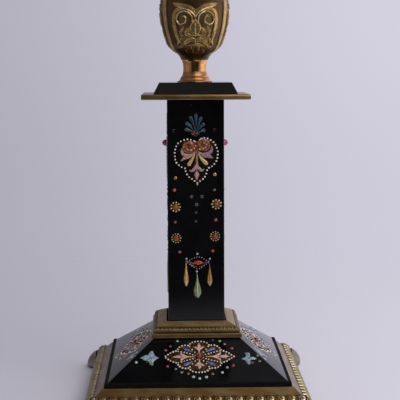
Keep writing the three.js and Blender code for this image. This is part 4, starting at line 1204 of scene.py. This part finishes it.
# On the cup the patina follows the chasing: brown-black in the ground, olive brown on the leaves, and
# gold on the fine rims, partly rubbed wear and partly painted highlight.
GROUND_PATINA = (0.11, 0.06, 0.03, 1)
LEAF_PATINA = (0.42, 0.27, 0.095, 1)
RUBBED_PATINA = (0.58, 0.38, 0.14, 1)
RIM_GOLD_AND_HIGHLIGHT = (0.95, 0.8, 0.5, 1)
chased_bronze, chased_tree, chased_shader = new_finish("chased_bronze")
chased_height = add(chased_tree, "ShaderNodeAttribute", attribute_name="chased_height")["Fac"]
worn_leaf = mixed(chased_tree, mottle(chased_tree, 240.0, 5.0), LEAF_PATINA, RUBBED_PATINA)
worn_cup = mixed(chased_tree, eased_share(chased_tree, chased_height, 0.05, 0.75), GROUND_PATINA, worn_leaf)
rim_wear_and_highlight_share = eased_share(chased_tree, chased_height, 0.85, 1.15)
rim_wear_and_highlight_share = reckoned(chased_tree, "MULTIPLY", rim_wear_and_highlight_share, mottle(chased_tree, 110.0, 3.0, 0.34, 0.54, 0.9))
cup_grain = mottle(chased_tree, 900.0, 3.0, 0.3, 0.7, offset=0.3)
feed(chased_tree, chased_shader, {
    "Base Color": mixed(chased_tree, rim_wear_and_highlight_share, worn_cup, RIM_GOLD_AND_HIGHLIGHT),
    "Metallic": 0.8,
    "Roughness": between(chased_tree, cup_grain, 0.22, 0.34),
})
URN_OUTSIDE = [
    (9.4, 237.5), (10.3, 239.3), (12, 241.5), (14.9, 243.7), (17, 245.8), (18.4, 248), (19.6, 251.5),
    (21, 255.5), (22.2, 260), (23, 265), (23.5, 270), (23.6, 274.5), (23.4, 279), (22.9, 284),
]
URN_INSIDE = [
    (22.4, 284), (20.4, 284), (20.9, 271), (19.6, 259), (16.6, 250.5), (12, 244.6), (9, 243), (3.6, 243),
    (3.6, 237.5),
]
# Half of one panel's carving, across from its middle and up: broad leaves and stems with flat faces,
# and fine rims and veins that stand above them. Each line has its half widths, then how far it stands out.
BROAD_CARVING = [
    ([(0.4, 267.6), (2.8, 270.7), (6.2, 272.4), (10.6, 273.8), (15.6, 275.0)],
     [1.1, 1.6, 1.7, 1.5, 0.4], 0.75),
    ([(5.4, 271.6), (9.8, 271.7), (13.4, 270.4), (15.2, 267.0), (15.2, 262.4), (14.4, 258.0), (13.0, 254.0),
      (11.9, 250.8), (12.6, 248.2)],
     [0.7, 1.2, 1.4, 1.5, 1.5, 1.5, 1.4, 1.1, 0.7], 0.75),
    ([(0.0, 263.6), (0.9, 260.6), (1.2, 257.4), (0.4, 254.2)], [0.8, 2.0, 2.2, 1.3], 0.85),
    ([(3.4, 258.6), (5.4, 257.0), (6.0, 255.0), (4.4, 253.8), (2.2, 253.6)], [0.6, 1.3, 1.3, 1.0, 0.6], 0.7),
    ([(0.4, 250.4), (3.4, 250.9), (6.2, 249.3), (8.4, 246.6)], [1.3, 1.7, 1.6, 0.5], 0.8),
    ([(8.4, 259.2), (10.0, 256.8), (9.7, 254.2), (8.2, 253.2)], [0.5, 1.0, 1.0, 0.4], 0.6),
    ([(9.9, 252.4), (10.7, 250.2), (9.6, 248.4)], [0.4, 0.9, 0.4], 0.6),
    ([(0.6, 247.4), (4.4, 246.6), (8.6, 245.6), (12.6, 246.6)], [1.2, 1.2, 1.0, 0.3], 0.5),
    ([(1.0, 245.8), (1.9, 244.2), (1.2, 242.4)], [0.8, 0.9, 0.3], 0.5),
    ([(4.2, 245.0), (5.8, 243.6), (5.2, 242.4)], [0.4, 0.8, 0.3], 0.45),
]
FINE_CARVING = [
    ([(0.0, 265.9), (2.3, 269.0), (6.2, 271.2), (10.6, 272.5), (14.6, 273.6)],
     [0.42, 0.4, 0.36, 0.32, 0.2], 1.15),
    ([(0.0, 270.6), (5.2, 273.6), (10.6, 275.1), (15.8, 275.9)], [0.25, 0.32, 0.32, 0.2], 1.0),
    ([(2.1, 262.4), (2.2, 265.8), (3.8, 268.4), (6.8, 269.9), (10.0, 269.5), (12.5, 267.5), (13.1, 264.7),
      (11.9, 262.1), (9.4, 261.2), (7.1, 262.4), (6.4, 264.8), (7.6, 266.7), (9.4, 266.3)],
     [0.35, 0.48, 0.55, 0.55, 0.5, 0.48, 0.46, 0.44, 0.42, 0.4, 0.38, 0.34, 0.3], 1.2),
    ([(0.3, 263.6), (1.9, 262.2), (3.2, 259.8), (3.2, 257.3)], [0.25, 0.36, 0.36, 0.25], 1.2),
    ([(4.8, 257.7), (6.7, 256.3), (6.6, 254.3), (5.4, 253.6)], [0.2, 0.36, 0.36, 0.2], 1.1),
    ([(3.0, 252.2), (5.7, 250.8), (7.9, 248.1)], [0.25, 0.38, 0.25], 1.2),
    ([(13.9, 257.0), (12.5, 253.4), (11.2, 250.2), (11.8, 247.9), (13.2, 247.2)],
     [0.2, 0.36, 0.4, 0.36, 0.2], 1.15),
    ([(16.4, 268.0), (16.6, 263.0), (15.7, 258.0), (14.3, 253.6)], [0.2, 0.3, 0.3, 0.2], 0.95),
    ([(8.9, 258.6), (10.7, 256.6), (10.3, 254.0)], [0.2, 0.32, 0.2], 1.0),
    ([(0.0, 262.0), (0.0, 257.0), (0.0, 253.2)], [0.25, 0.34, 0.25], 1.2),
    ([(0.0, 251.4), (0.0, 248.6)], [0.3, 0.3], 1.05),
    ([(2.8, 246.2), (2.1, 244.2), (1.5, 242.6)], [0.2, 0.3, 0.2], 0.85),
]
PANELS = 3
RIB_PROUD, RIB_PATINA = 1.1, 0.96
RIB_FOOT, RIB_HEAD = 241.5, 279.6
RIB_TOP_HALF, RIB_BOTTOM_HALF = 2.3, 1.2
RIB_WIDENS_FROM, RIB_WIDENS_OVER = 240, 22
RIM_BAND, RIM_BAND_PROUD = 276.4, 0.35
OLIVE_MIDDLE_HALF, OLIVE_MIDDLE_FROM, OLIVE_MIDDLE_TO, OLIVE_MIDDLE_PATINA_HEIGHT = 13.5, 240, 272, 0.33
CASTING_SKIN = 0.12
URN_AROUND, URN_RINGS = 480, 150


def smooth_step(value):
    value = np.clip(value, 0, 1)
    return value * value * (3 - 2 * value)


def carved(across, height, lines, crisp):
    """How far the carving stands out where a point lies across from the middle of a panel."""
    rise_there = np.zeros_like(across)
    for spine, halves, rise in lines:
        steps = 6 * len(spine)
        line = np.array(flowing(spine, steps))
        for i, start in enumerate(line[:-1]):
            run = line[i + 1] - start
            length = run @ run + 1e-9
            share = np.clip(((across - start[0]) * run[0] + (height - start[1]) * run[1]) / length, 0, 1)
            gap = np.hypot(across - start[0] - share * run[0], height - start[1] - share * run[1])
            half = share_along(halves, (i + 0.5) / steps)
            rise_there = np.maximum(rise_there, rise * smooth_step((half + crisp / 2 - gap) / crisp))
    return rise_there


heights = np.linspace(URN_OUTSIDE[0][1], URN_OUTSIDE[-1][1], URN_RINGS)
angles = np.arange(URN_AROUND) * 2 * math.pi / URN_AROUND
panel = 2 * math.pi / PANELS
from_middle = np.abs((angles + math.pi / 2 + panel / 2) % panel - panel / 2)
angle_grid, height_grid = np.meshgrid(from_middle, heights, indexing="ij")
profile_curve = flowing(URN_OUTSIDE, URN_RINGS * 2)
radius_grid = np.interp(height_grid, [p.y for p in profile_curve], [p.x for p in profile_curve])
across_grid = angle_grid * radius_grid
relief = carved(across_grid, height_grid, BROAD_CARVING, crisp=0.6)
relief = np.maximum(relief, carved(across_grid, height_grid, FINE_CARVING, crisp=0.45))
rib_share = np.clip((height_grid - RIB_WIDENS_FROM) / RIB_WIDENS_OVER, 0, 1)
rib_half = RIB_BOTTOM_HALF + (RIB_TOP_HALF - RIB_BOTTOM_HALF) * rib_share
from_rib = (panel / 2 - angle_grid) * radius_grid
rib_ends = smooth_step((height_grid - RIB_FOOT) / 1.5) * smooth_step((RIB_HEAD - height_grid) / 0.8)
rib = np.clip(1 - (from_rib / (rib_half + 0.1)) ** 2, 0, 1) ** 0.4 * rib_ends
patina_height = np.maximum(relief, RIB_PATINA * rib)
# The ground is lighter, olive, between the scrolls near the middle of each panel, where it bulges most.
olive_middle = smooth_step((OLIVE_MIDDLE_HALF - across_grid) / 4) * smooth_step((height_grid - OLIVE_MIDDLE_FROM) / 6)
olive_middle = OLIVE_MIDDLE_PATINA_HEIGHT * olive_middle * smooth_step((OLIVE_MIDDLE_TO - height_grid) / 4)
patina_height = np.maximum(patina_height, olive_middle)
relief = np.maximum(relief, RIB_PROUD * rib)
relief = np.maximum(relief, RIM_BAND_PROUD * smooth_step((height_grid - RIM_BAND) / 0.5))
outer = radius_grid - CASTING_SKIN + relief
urn_rings = []
for i, angle in enumerate(angles):
    upright = [*zip(outer[i], heights), *URN_INSIDE]
    urn_rings.append([(*around(0, 0, angle, radius), height) for radius, height in upright])
urn = Solid()
urn.loft(urn_rings, chased_bronze, closed=True)
chased_urn = finished("chased_urn", urn, ["urn_body"], crisp=60)
height_marks = chased_urn.data.attributes.new("chased_height", "FLOAT", "POINT")
marks = np.zeros((URN_AROUND, len(urn_rings[0])), dtype=np.float32)
marks[:, :URN_RINGS] = patina_height
height_marks.data.foreach_set("value", marks.ravel())


# Ring on the urn: a turned bronze ring that closes the cup. Its spigot drops into the mouth of the urn,
# and a short sleeve under it guides the candle tube.
RING_PROFILE = [
    (12.9, 277), (14.5, 277), (14.5, 281.5), (20, 281.5), (20, 284.1), (23.2, 284.1),
    *arc(23.05, 285.75, 1.35, -70, 70, 10), (22.5, 287.6), (22.3, 288.2), (22.1, 289.7), (21.8, 290),
    (13.2, 290), (12.9, 289.7),
]
ring_solid = Solid()
turned(ring_solid, RING_PROFILE, bronze, 128)
finished("turned_ring", ring_solid, ["urn_rim"], crisp=40)


# Drip pan: a spun brass dish with a drawn tube for the candle, gilt like the frame.
# It only rests on the ring, by its weight, and lifts off.
PAN_OUTSIDE = [(24, 290.3), (27.6, 291.3), (29.8, 293.7), (30.7, 295.7)]
PAN_INSIDE = [(29.9, 296.2), (28.6, 294.2), (26.8, 292.3), (24, 291.5)]
PAN_PROFILE = [
    (AXIS, 276), (12.1, 276), (12.4, 276.3), (12.4, 290.3), *flowing(PAN_OUTSIDE, 14),
    (30.75, 296.1), (30.55, 296.38), (30.2, 296.4), *flowing(PAN_INSIDE, 14),
    (12.4, 291.5), (12.4, 300.5), (13.4, 301.2), *arc(13.75, 302.6, 0.85, -60, 80, 8), (12.4, 304),
    (11.5, 303.4), (11.25, 302.6), (11.25, 277.5), (AXIS, 277.5),
]
spun = Solid()
turned(spun, PAN_PROFILE, gilt_brass, 128)
pan_solid = Solid()
pan_solid.take(without_doubles(plain_mesh("pan", spun), 0.003), gilt_brass)
finished("spun_drip_pan", pan_solid, ["drip_pan"], body="pan", crisp=40)
